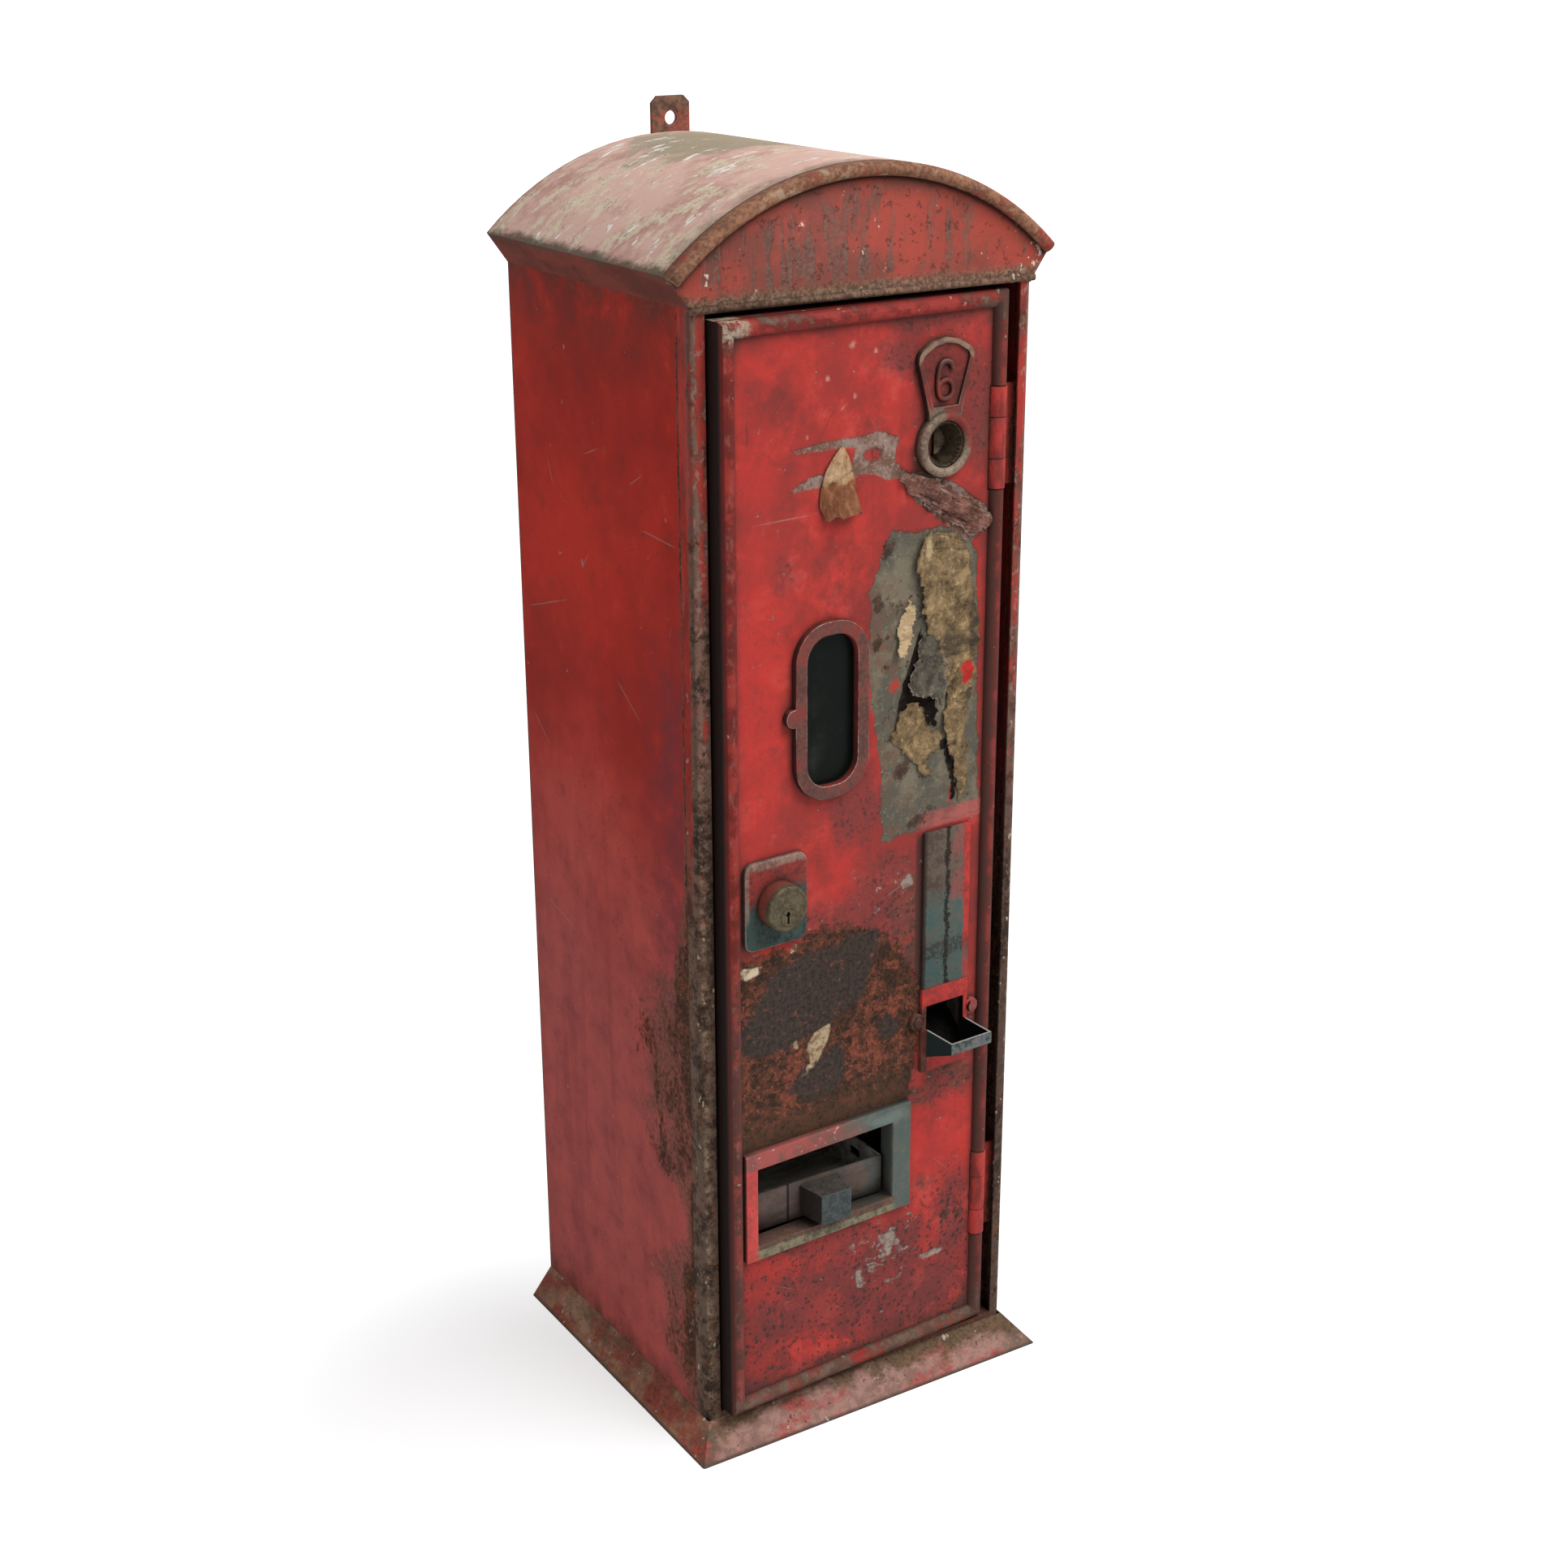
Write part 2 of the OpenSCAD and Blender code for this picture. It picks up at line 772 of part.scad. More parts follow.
module fixed_leaf(z) {
    z0 = z - hinge_len / 2;
    z1 = z + hinge_len / 2;
    gap = knuckle_len / 2 + run_gap;
    leaf_y = hinge_y + barrel_r - leaf_t;
    color("firebrick")
        difference() {
            union() {
                barrel(z0, z1, barrel_r);
                block(hinge_x, inner_x, leaf_y, leaf_y + leaf_t, z0, z1);
                block(inner_x - leaf_t, inner_x, leaf_y, leaf_y + fixed_leaf_d, z0, z1);
            }
            hinge_bore(z);
            block(hinge_x - barrel_r - over, hinge_x + barrel_r + run_gap,
                hinge_y - barrel_r - over, hinge_y + barrel_r + over, z - gap, z + gap);
        }
}

module door_leaf(z) {
    color("firebrick")
        on_door()
            difference() {
                union() {
                    barrel(z - knuckle_len / 2, z + knuckle_len / 2, barrel_r);
                    block(notch_x - door_leaf_w, notch_x, panel_back, panel_back + leaf_t,
                        z - hinge_len / 2, z + hinge_len / 2);
                    block(notch_x - over, hinge_x, panel_back, panel_back + leaf_t,
                        z - knuckle_len / 2, z + knuckle_len / 2);
                }
                hinge_bore(z);
            }
}

module hinge_pins() {
    color("gray")
        for (z = [upper_hinge_z, lower_hinge_z])
            barrel(z - hinge_len / 2, z + hinge_len / 2, hinge_pin_r);
}

// Room for the hinges in the door's edge
module hinge_notches(x0) {
    for (z = [upper_hinge_z, lower_hinge_z])
        block(x0, door_r + over, panel_y - 2 * bead_r, panel_back + bar_d + over,
            z - hinge_len / 2 - notch_gap, z + hinge_len / 2 + notch_gap);
}

// Door sheet, stiffening bars and bead

module door_panel() {
    color("crimson")
        on_door()
            difference() {
                block(door_l, door_r, panel_y, panel_back, door_z, door_top);
                hinge_notches(notch_x);
                upright(panel_y - over, panel_back + over)
                    union() {
                        translate([window_x, window_z])
                            round_rect(window_w, window_h, window_r);
                        translate([drawer_mouth_x - lining_t, drawer_mouth_z - lining_t])
                            square([mouth_w + 2 * lining_t, mouth_h + 2 * lining_t]);
                        translate([scoop_x - scoop_w / 2, mouth_z0])
                            square([scoop_w, mouth_z1 - mouth_z0]);
                    }
                rod_y_axis(coin_x, coin_z, ring_hole_r, panel_y - over, panel_back + over);
                rod_y_axis(lock_x, lock_z, shank_r + hole_gap, panel_y - over, panel_back + over);
                ear_screw_shanks(pin_gap);
            }
}

// Four bars that stop just short of each other at the corners
module door_bars() {
    y1 = panel_back + bar_d;
    z0 = door_z + bar_t + run_gap;
    z1 = door_top - bar_t - run_gap;
    color("maroon")
        on_door()
            difference() {
                union() {
                    block(door_l, door_r, panel_back, y1, door_z, door_z + bar_t);
                    block(door_l, door_r, panel_back, y1, door_top - bar_t, door_top);
                    block(door_l, door_l + bar_t, panel_back, y1, z0, z1);
                    block(door_r - bar_t, door_r, panel_back, y1, z0, z1);
                }
                hinge_notches(notch_x);
            }
}

// One mitred length of half-round bead along x, its foot on the panel
module bead(len) {
    w = 2 * bead_r;
    intersection() {
        rod_x_axis(0, bead_r, bead_r, 0, len);
        upright(-bead_r, 0)
            polygon([[0, 0], [len, 0], [len - w, w], [w, w]]);
    }
}

module door_bead() {
    door_w = door_r - door_l;
    door_h = door_top - door_z;
    color("brown")
        on_door() {
            translate([door_l, panel_y, door_z])
                bead(door_w);
            translate([door_l, panel_y, door_top])
                mirror([0, 0, 1])
                    bead(door_w);
            translate([door_l, panel_y, door_z])
                mirror([1, 0, 0])
                    rotate([0, -90, 0])
                        bead(door_h);
            difference() {
                translate([door_r, panel_y, door_z])
                    rotate([0, -90, 0])
                        bead(door_h);
                hinge_notches(notch_x);
            }
        }
}

// Lock: plate and cylinder on the door, plug and cam that turn in it

module lock_plate() {
    color("cadetblue")
        on_door()
            difference() {
                upright(lock_plate_y, panel_y)
                    translate([lock_x, lock_z])
                        round_rect(lock_plate_w, lock_plate_h, 6);
                rod_y_axis(lock_x, lock_z, shank_r + hole_gap, lock_plate_y - over, panel_y + over);
            }
}

module plug_bore(r) {
    rod_y_axis(lock_x, plug_z, r, lock_face_y - over, shank_end + over);
}

module lock_cylinder() {
    color("darkgoldenrod")
        on_door()
            difference() {
                translate([lock_x, lock_plate_y, lock_z])
                    rotate([90, 0, 0])
                        rotate_extrude()
                            union() {
                                square([lock_r, lock_out - lock_edge]);
                                square([lock_r - lock_edge, lock_out]);
                                intersection() {
                                    translate([lock_r - lock_edge, lock_out - lock_edge])
                                        circle(lock_edge);
                                    square([lock_r, lock_out]);
                                }
                                translate([0, lock_plate_y - shank_end])
                                    square([shank_r, shank_end - lock_plate_y]);
                            }
                rod_y_axis(lock_x, lock_z, lock_r - lock_rim, lock_face_y - over, lock_face_y + lock_sink);
                plug_bore(plug_r + pin_gap);
            }
}

module lock_nut() {
    color("gray")
        on_door()
            difference() {
                translate([lock_x, panel_back + nut_t, lock_z])
                    rotate([90, 0, 0])
                        cylinder(r = shank_r + 5.5, h = nut_t, $fn = 6);
                rod_y_axis(lock_x, lock_z, shank_r + pin_gap, panel_back - over,
                    panel_back + nut_t + over);
            }
}

module lock_plug() {
    key_t = 1.4;
    key_h = 8;
    key_d = 9;
    plug_out = -lock_sink / 2;
    color("goldenrod")
        on_door()
            difference() {
                union() {
                    rod_y_axis(lock_x, plug_z, plug_r, lock_face_y - plug_out, shank_end);
                    rod_y_axis(lock_x, plug_z, tail_r, shank_end, cam_y + cam_t);
                    rod_y_axis(lock_x, plug_z, tail_r + 2, cam_y + cam_t, cam_y + cam_t + 1.5);
                }
                block(lock_x - key_t / 2, lock_x + key_t / 2, lock_face_y - plug_out - over,
                    lock_face_y + key_d, plug_z - key_h / 2, plug_z + key_h / 2);
                rod_y_axis(lock_x, plug_z + key_h / 4, key_t, lock_face_y - plug_out - over,
                    lock_face_y + key_d);
            }
}

module lock_cam() {
    color("silver")
        on_door()
            difference() {
                upright(cam_y, cam_y + cam_t)
                    translate([lock_x, plug_z])
                        union() {
                            circle(cam_w * 0.75);
                            translate([-cam_w / 2, 0])
                                square([cam_w, cam_len - cam_w / 2]);
                            translate([0, cam_len - cam_w / 2])
                                circle(cam_w / 2);
                        }
                rod_y_axis(lock_x, plug_z, tail_r + pin_gap, cam_y - over, cam_y + cam_t + over);
            }
}

module lock_keeper() {
    keeper_leg = 17;
    color("gray") {
        block(-inner_x, -inner_x + keeper_in, keeper_y, keeper_y + keeper_t,
            plug_z - keeper_h / 2, plug_z + keeper_h / 2);
        block(-inner_x, -inner_x + keeper_t, keeper_y + keeper_t, keeper_y + keeper_leg,
            plug_z - keeper_h / 2, plug_z + keeper_h / 2);
    }
}

// Stock window: raised frame in front, glass and its retainer behind

module window_frame() {
    outer_w = window_w + 2 * window_band;
    color("firebrick")
        on_door()
            upright(panel_y - window_t, panel_y)
                translate([window_x, window_z])
                    difference() {
                        union() {
                            round_rect(outer_w, window_h + 2 * window_band, window_r + window_band);
                            translate([-outer_w / 2 - 1, 0])
                                circle(lug_r);
                        }
                        round_rect(window_w, window_h, window_r);
                    }
}

module window_glass() {
    color("darkslategray")
        on_door()
            upright(panel_back, panel_back + glass_t)
                translate([window_x, window_z])
                    square([window_w + 2 * glass_lap, window_h + 2 * glass_lap], center = true);
}

module glass_retainer() {
    rim = 4;
    w = window_w + 2 * glass_lap + 2 * hole_gap;
    h = window_h + 2 * glass_lap + 2 * hole_gap;
    back_y = panel_back + glass_t;
    color("dimgray")
        on_door() {
            upright(panel_back, back_y)
                translate([window_x, window_z])
                    difference() {
                        square([w + 2 * rim, h + 2 * rim], center = true);
                        square([w, h], center = true);
                    }
            upright(back_y, back_y + retainer_t)
                translate([window_x, window_z])
                    difference() {
                        square([w + 2 * rim, h + 2 * rim], center = true);
                        square([window_w, window_h], center = true);
                    }
        }
}

// Coin entry: a shield over a ring, the cup in the ring and the flap behind its slot

module shield_outline(inset) {
    corner = 7;
    crown = 5;
    hull() {
        for (step = [-1, -0.5, 0, 0.5, 1])
            translate([step * (shield_w / 2 - corner), shield_up - corner - crown * step * step])
                circle(corner - inset, $fn = 32);
        translate([inset - shield_foot / 2, ring_r + inset])
            square([shield_foot - 2 * inset, 1]);
    }
}

module coin_escutcheon() {
    rim_mid = (ring_r + ring_hole_r) / 2;
    rim_half = (ring_r - ring_hole_r) / 2;
    color("firebrick")
        on_door()
            difference() {
                union() {
                    translate([coin_x, 0, coin_z])
                        upright(cast_y, panel_y)
                            union() {
                                shield_outline(0);
                                translate([-shield_foot / 2, ring_r - 4])
                                    square([shield_foot, 5]);
                                circle(ring_r);
                            }
                    translate([coin_x, cast_y, coin_z])
                        rotate([90, 0, 0])
                            rotate_extrude()
                                translate([rim_mid, 0])
                                    circle(rim_half);
                }
                translate([coin_x, 0, coin_z])
                    upright(cast_y - over, cast_y + shield_sink)
                        shield_outline(shield_rim);
                rod_y_axis(coin_x, coin_z, ring_hole_r, cast_y - ring_r, panel_y + over);
            }
}

module coin_cup() {
    tube = cup_back - cast_y;
    floor_y = cup_back - back_plate_t;
    lug_x = flap_w / 2 + run_gap;
    color("saddlebrown")
        on_door()
            difference() {
                union() {
                    translate([coin_x, cup_back, coin_z])
                        rotate([90, 0, 0])
                            rotate_extrude()
                                difference() {
                                    union() {
                                        square([cup_r, tube]);
                                        translate([0, cup_back - panel_back - sheet])
                                            square([cup_flange_r, sheet]);
                                    }
                                    polygon([[0, back_plate_t], [cup_r * 0.6, back_plate_t],
                                        [cup_r - cup_wall, tube - 3], [cup_r - cup_wall, tube + over],
                                        [0, tube + over]]);
                                }
                    block(coin_x - cup_r, coin_x + cup_r, floor_y, cup_back, coin_z,
                        flap_pin_z + flap_knuckle_r + 1);
                    for (side = [-1, 1])
                        translate([coin_x + side * (lug_x + lug_t / 2), 0, 0])
                            block(-lug_t / 2, lug_t / 2, floor_y, flap_y + flap_knuckle_r,
                                flap_pin_z - flap_knuckle_r, flap_pin_z + flap_knuckle_r + 1);
                }
                block(coin_x - slot_t / 2, coin_x + slot_t / 2, panel_y, cup_back + over,
                    slot_z - slot_h / 2, slot_z + slot_h / 2);
                rod_x_axis(flap_y, flap_pin_z, flap_pin_r + pin_gap, coin_x - cup_r, coin_x + cup_r);
            }
}

module flap_pin() {
    reach = flap_w / 2 + run_gap + lug_t + 0.5;
    color("silver")
        on_door()
            rod_x_axis(flap_y, flap_pin_z, flap_pin_r, coin_x - reach, coin_x + reach);
}

// A leaf that hangs from a knuckle round its pin
module hanging_flap(x, y, z, w, len, t, knuckle, bore) {
    difference() {
        union() {
            rod_x_axis(y, z, knuckle, x - w / 2, x + w / 2);
            block(x - w / 2, x + w / 2, y - knuckle, y - knuckle + t, z - len, z);
        }
        rod_x_axis(y, z, bore, x - w / 2 - over, x + w / 2 + over);
    }
}

module coin_flap() {
    color("darkkhaki")
        on_door()
            hanging_flap(coin_x, flap_y, flap_pin_z, flap_w, flap_len, flap_t,
                flap_knuckle_r, flap_pin_r + pin_gap);
}

// Coin chute behind the door, with a ramp to the scoop and an exit to the cash box

module coin_chute() {
    x0 = chute_mid - chute_w / 2;
    x1 = chute_mid + chute_w / 2;
    gate_x = exit_w / 2 + 1 + run_gap;
    color("dimgray")
        on_door()
            difference() {
                union() {
                    block(x0 - sheet, x0, panel_back, chute_back, chute_foot, chute_top);
                    block(x1, x1 + sheet, panel_back, chute_back, chute_foot, chute_top);
                    block(x0 - sheet, x1 + sheet, chute_back - sheet, chute_back, chute_foot,
                        chute_top);
                    block(x0, x1, panel_back, chute_back - sheet, chute_top - sheet, chute_top);
                    for (side = [-1, 1])
                        translate([chute_mid + side * (gate_x + lug_t / 2), 0, 0])
                            block(-lug_t / 2, lug_t / 2, chute_back - sheet,
                                gate_y + gate_knuckle_r, gate_pin_z - gate_knuckle_r,
                                gate_pin_z + gate_knuckle_r);
                }
                block(chute_mid - exit_w / 2, chute_mid + exit_w / 2, chute_back - sheet - over,
                    chute_back + over, exit_z, exit_z + exit_h);
                block(notch_x - door_leaf_w - notch_gap, x1 + sheet + over, panel_back - over,
                    panel_back + leaf_t + run_gap, upper_hinge_z - hinge_len / 2 - notch_gap,
                    upper_hinge_z + hinge_len / 2 + notch_gap);
                rod_x_axis(gate_y, gate_pin_z, gate_pin_r + pin_gap, x0, x1);
            }
}

module coin_ramp() {
    x0 = chute_mid - chute_w / 2;
    x1 = chute_mid + chute_w / 2;
    ramp_t = 1.5;
    ramp_back = chute_back - sheet;
    color("gray")
        on_door()
            across(x0, x1)
                polygon([[panel_back, mouth_z0 - ramp_t], [panel_back, mouth_z0],
                    [ramp_back, mouth_z0 + ramp_rise], [ramp_back, mouth_z0 + ramp_rise - ramp_t]]);
}

module gate_pin() {
    reach = exit_w / 2 + 1 + run_gap + lug_t + 0.5;
    color("silver")
        on_door()
            rod_x_axis(gate_y, gate_pin_z, gate_pin_r, chute_mid - reach, chute_mid + reach);
}

module coin_gate() {
    color("darkkhaki")
        on_door()
            hanging_flap(chute_mid, gate_y, gate_pin_z, exit_w + 2, gate_len, gate_t,
                gate_knuckle_r, gate_pin_r + pin_gap);
}

module chute_cover() {
    color("cadetblue")
        on_door()
            block(scoop_x - scoop_plate_w / 2, scoop_x + scoop_plate_w / 2, panel_y - cover_t,
                panel_y, scoop_plate_top, scoop_plate_top + cover_h);
}

module ear_screw_shanks(gap) {
    for (side = [-1, 1])
        rod_y_axis(scoop_x + side * ear_pitch / 2, ear_z, ear_screw_r + gap,
            scoop_plate_y - over * gap, panel_back + over * gap);
}

// Cast plate with two ears and a scoop whose floor rises to a low front lip
module return_scoop() {
    half = scoop_w / 2;
    tip_y = scoop_plate_y - scoop_out;
    rise = scoop_h - scoop_lip;
    color("firebrick")
        on_door()
            difference() {
                union() {
                    upright(scoop_plate_y, panel_y)
                        union() {
                            translate([scoop_x - scoop_plate_w / 2, scoop_plate_z])
                                square([scoop_plate_w, scoop_plate_top - scoop_plate_z]);
                            for (side = [-1, 1])
                                translate([scoop_x + side * ear_pitch / 2, ear_z])
                                    circle(ear_r);
                        }
                    across(scoop_x - half - scoop_wall, scoop_x + half + scoop_wall)
                        polygon([[panel_y, mouth_z0 - scoop_wall], [panel_y, scoop_z],
                            [tip_y, scoop_z], [tip_y, scoop_z - scoop_lip - scoop_wall],
                            [scoop_plate_y, mouth_z0 - scoop_wall]]);
                }
                across(scoop_x - half, scoop_x + half)
                    polygon([[panel_y + over, mouth_z0], [panel_y + over, mouth_z1],
                        [scoop_plate_y - over, mouth_z1], [scoop_plate_y - over, scoop_z + over],
                        [tip_y + scoop_wall, scoop_z + over], [tip_y + scoop_wall, mouth_z0 + rise],
                        [scoop_plate_y, mouth_z0]]);
                ear_screw_shanks(pin_gap);
            }
}

module scoop_screws() {
    head_r = ear_screw_r * 2;
    color("peru")
        on_door() {
            ear_screw_shanks(0);
            for (side = [-1, 1])
                rod_y_axis(scoop_x + side * ear_pitch / 2, ear_z, head_r,
                    scoop_plate_y - ear_screw_r, scoop_plate_y);
        }
}

// Bezel of the drawer opening, with a lining through the door
module drawer_bezel() {
    x0 = drawer_mouth_x;
    z0 = drawer_mouth_z;
    color("cadetblue")
        on_door()
            difference() {
                union() {
                    block(x0 - bezel_left, x0 + mouth_w + bezel_right, panel_y - bezel_t, panel_y,
                        z0 - bezel_bottom, z0 + mouth_h + bezel_top);
                    block(x0 - lining_t + pin_gap, x0 + mouth_w + lining_t - pin_gap, panel_y,
                        panel_y + lining_d, z0 - lining_t + pin_gap,
                        z0 + mouth_h + lining_t - pin_gap);
                }
                block(x0, x0 + mouth_w, panel_y - bezel_t - over, panel_y + lining_d + over,
                    z0, z0 + mouth_h);
            }
}

// Drawer: tray, front plate and knob

// Windows in the drawer's side where the pawl drops in, shut and fully drawn
module pawl_windows() {
    for (run = [0, drawer_travel])
        block(drawer_r - drawer_t - over, drawer_r + over, window_y + run - pawl_window / 2,
            window_y + run + pawl_window / 2, pawl_z - 1.5, pawl_z + pawl_t + 1.5);
}

module drawer_tray() {
    x0 = drawer_x - drawer_w / 2;
    y1 = drawer_y + drawer_d + drawer_t;
    color("dimgray")
        difference() {
            block(x0, drawer_r, drawer_y, y1, drawer_z, drawer_z + drawer_h);
            block(x0 + drawer_t, drawer_r - drawer_t, drawer_y - over, y1 - drawer_t,
                drawer_z + drawer_t, drawer_z + drawer_h + over);
            pawl_windows();
        }
}

module drawer_front() {
    color("slategray")
        difference() {
            block(drawer_x - drawer_w / 2, drawer_r, panel_y, drawer_y, drawer_z,
                drawer_z + drawer_h);
            rod_y_axis(knob_x, knob_z, knob_screw_r + pin_gap, panel_y - over, drawer_y + over);
        }
}

// Block knob, narrower towards its end
module drawer_knob() {
    end_y = panel_y - knob_out;
    color("slategray")
        difference() {
            translate([0, 0, knob_z - knob_h / 2])
                linear_extrude(knob_h)
                    polygon([[knob_x - knob_base / 2, panel_y], [knob_x + knob_base / 2, panel_y],
                        [knob_x + knob_end / 2, end_y + knob_out / 4],
                        [knob_x + knob_end / 2, end_y], [knob_x - knob_end / 2, end_y],
                        [knob_x - knob_end / 2, end_y + knob_out / 4]]);
            rod_y_axis(knob_x, knob_z, knob_screw_r + pin_gap, panel_y - knob_out * 0.6,
                panel_y + over);
        }
}

module knob_screw() {
    color("silver") {
        rod_y_axis(knob_x, knob_z, knob_screw_r, panel_y - knob_out * 0.6, drawer_y);
        rod_y_axis(knob_x, knob_z, knob_screw_r * 2, drawer_y, drawer_y + knob_screw_r);
    }
}

// Packet magazine: a channel open in front, hung on two rails across the cabinet

module packet_column() {
    x0 = drawer_x - pack_out_w / 2;
    x1 = drawer_x + pack_out_w / 2;
    slot_r = rod_r + run_gap;
    lip = (pack_out_w - pack_slot) / 2;
    color("dimgray")
        difference() {
            translate([0, 0, pack_z])
                linear_extrude(pack_top_z - pack_z)
                    union() {
                        translate([x0, pack_back - sheet])
                            square([pack_out_w, sheet]);
                        for (x = [x0, x1 - sheet])
                            translate([x, pack_y])
                                square([sheet, pack_back - pack_y]);
                        for (x = [x0, x1 - lip])
                            translate([x, pack_y])
                                square([lip, sheet]);
                    }
            for (x = [x0, x1 - sheet]) {
                block(x - over, x + sheet + over, rod_y - slot_r, rod_y + slot_r, rod_z,
                    rod_z + follower_travel);
                for (z = [rod_z, rod_z + follower_travel])
                    rod_x_axis(rod_y, z, slot_r, x - over, x + sheet + over);
            }
        }
}

module cross_rail(z) {
    color("gray") {
        block(-inner_x, inner_x, pack_back, pack_back + rail_t, z, z + rail_h);
        block(-inner_x, inner_x, pack_back + rail_t, pack_back + rail_d, z, z + rail_t);
    }
}

module follower_weight() {
    w = pack_w - 2 * follower_gap;
    d = pack_d - 2 * follower_gap;
    grip_r = 7;
    grip_h = 12;
    color("darkslategray")
        difference() {
            union() {
                block(drawer_x - w / 2, drawer_x + w / 2, rod_y - d / 2, rod_y + d / 2,
                    follower_z, follower_z + follower_h);
                translate([drawer_x, rod_y, follower_z + follower_h])
                    rotate_extrude()
                        polygon([[0, 0], [grip_r * 0.6, 0], [grip_r * 0.6, grip_h * 0.4],
                            [grip_r, grip_h * 0.6], [grip_r, grip_h], [0, grip_h]]);
            }
            rod_x_axis(rod_y, rod_z, rod_r + pin_gap, drawer_x - w, drawer_x + w);
        }
}

module follower_rod() {
    reach = pack_out_w / 2 + rod_over;
    color("silver")
        rod_x_axis(rod_y, rod_z, rod_r, drawer_x - reach, drawer_x + reach);
}

// Shelf under the drawer, its guides, and the pawl that holds the drawer

module drawer_shelf() {
    color("gray")
        difference() {
            union() {
                block(-inner_x, inner_x, shelf_y, shelf_y + shelf_d, shelf_z, shelf_z + shelf_t);
                for (side = [-1, 1])
                    block(side > 0 ? inner_x - shelf_t : -inner_x,
                        side > 0 ? inner_x : shelf_t - inner_x, shelf_y, shelf_y + shelf_d,
                        shelf_z - shelf_flange, shelf_z);
            }
            block(pawl_x + coin_drop_w * 0.4, pawl_x + coin_drop_w * 1.4, pawl_y - trip_r * 2,
                pawl_y + coin_drop_w * 0.7, shelf_z - over, shelf_z + shelf_t + over);
        }
}

module drawer_guides() {
    y0 = shelf_y + 2;
    y1 = shelf_y + shelf_d - 2;
    z0 = shelf_z + shelf_t;
    color("silver") {
        block(drawer_x - drawer_w / 2 - run_gap - guide_t, drawer_x - drawer_w / 2 - run_gap,
            y0, y1, z0, z0 + guide_h);
        block(drawer_r + run_gap, drawer_r + run_gap + guide_t, y0, y1, z0, z0 + guide_h);
    }
}

module pawl_pin() {
    z0 = shelf_z + shelf_t;
    color("silver")
        translate([pawl_x, pawl_y, z0])
            cylinder(r = pawl_pin_r, h = pawl_z + pawl_t + 3 - z0);
}

module drawer_pawl() {
    z0 = shelf_z + shelf_t + run_gap;
    color("goldenrod")
        translate([pawl_x, pawl_y, 0])
            difference() {
                union() {
                    translate([0, 0, z0])
                        cylinder(r = pawl_hub_r, h = pawl_z + pawl_t - z0);
                    translate([0, 0, pawl_z])
                        linear_extrude(pawl_t)
                            union() {
                                rotate(pawl_rest) {
                                    translate([0, -pawl_nose / 2])
                                        square([pawl_len, pawl_nose]);
                                    translate([pawl_len, 0])
                                        circle(pawl_nose / 2);
                                }
                                translate([0, -pawl_hub_r / 2])
                                    square([trip_len, pawl_hub_r]);
                                translate([trip_len, 0])
                                    circle(trip_r);
                            }
                }
                translate([0, 0, z0 - over])
                    cylinder(r = pawl_pin_r + pin_gap, h = pawl_z + pawl_t - z0 + 2 * over);
            }
}

module cash_box() {
    color("darkolivegreen")
        difference() {
            block(cash_r - cash_w, cash_r, cash_y, cash_y + cash_d, floor_t, floor_t + cash_h);
            block(cash_r - cash_w + cash_wall, cash_r - cash_wall, cash_y + cash_wall,
                cash_y + cash_d - cash_wall, floor_t + cash_wall, floor_t + cash_h + over);
        }
}

floor_plate();
skirt_front_strip();
skirt_side_strip(-1);  // skirt_left_strip
skirt_side_strip(1);  // skirt_right_strip
front_sill();
side_panel(-1);  // side_panel_left
side_panel(1);  // side_panel_right
front_stile(-1);  // front_stile_left
front_stile(1);  // front_stile_right
back_panel();
roof_vault();
roof_rim();
gable_panel();
hanging_strap();
strap_rivets();
fixed_leaf(upper_hinge_z);  // upper_fixed_leaf
fixed_leaf(lower_hinge_z);  // lower_fixed_leaf
hinge_pins();
lock_keeper();
cross_rail(upper_rail_z);  // upper_cross_rail
cross_rail(lower_rail_z);  // lower_cross_rail
packet_column();
drawer_shelf();
drawer_guides();
pawl_pin();
cash_box();
door_panel();
door_bars();
door_bead();
door_leaf(upper_hinge_z);  // upper_door_leaf
door_leaf(lower_hinge_z);  // lower_door_leaf
lock_plate();
lock_cylinder();
lock_nut();
window_frame();
window_glass();
glass_retainer();
coin_escutcheon();
coin_cup();
flap_pin();
coin_chute();
coin_ramp();
gate_pin();
chute_cover();
return_scoop();
scoop_screws();
drawer_bezel();
lock_plug();
lock_cam();
coin_flap();
coin_gate();
drawer_tray();
drawer_front();
drawer_knob();
knob_screw();
follower_weight();
follower_rod();
drawer_pawl();
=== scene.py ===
import math
from functools import partialmethod, reduce
from operator import or_

import bpy
import numpy as np
from mathutils import Matrix, Vector, noise


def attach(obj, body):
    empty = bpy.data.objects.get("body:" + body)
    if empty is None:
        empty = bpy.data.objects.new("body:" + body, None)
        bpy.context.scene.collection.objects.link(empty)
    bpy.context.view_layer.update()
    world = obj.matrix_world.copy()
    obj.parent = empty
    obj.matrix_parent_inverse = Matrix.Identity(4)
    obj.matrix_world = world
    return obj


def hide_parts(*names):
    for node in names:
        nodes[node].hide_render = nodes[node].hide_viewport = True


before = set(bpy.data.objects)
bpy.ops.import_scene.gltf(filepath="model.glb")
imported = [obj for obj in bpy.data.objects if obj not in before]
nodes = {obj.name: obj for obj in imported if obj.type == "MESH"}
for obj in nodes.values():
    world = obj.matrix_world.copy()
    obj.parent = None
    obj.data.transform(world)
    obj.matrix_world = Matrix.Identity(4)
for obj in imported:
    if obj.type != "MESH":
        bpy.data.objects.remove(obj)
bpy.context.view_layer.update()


# Studio: a pale floor that runs out to white, a broad lamp in front at the right,
# a weak one at the left, and the camera in front and to the left, above the roof.

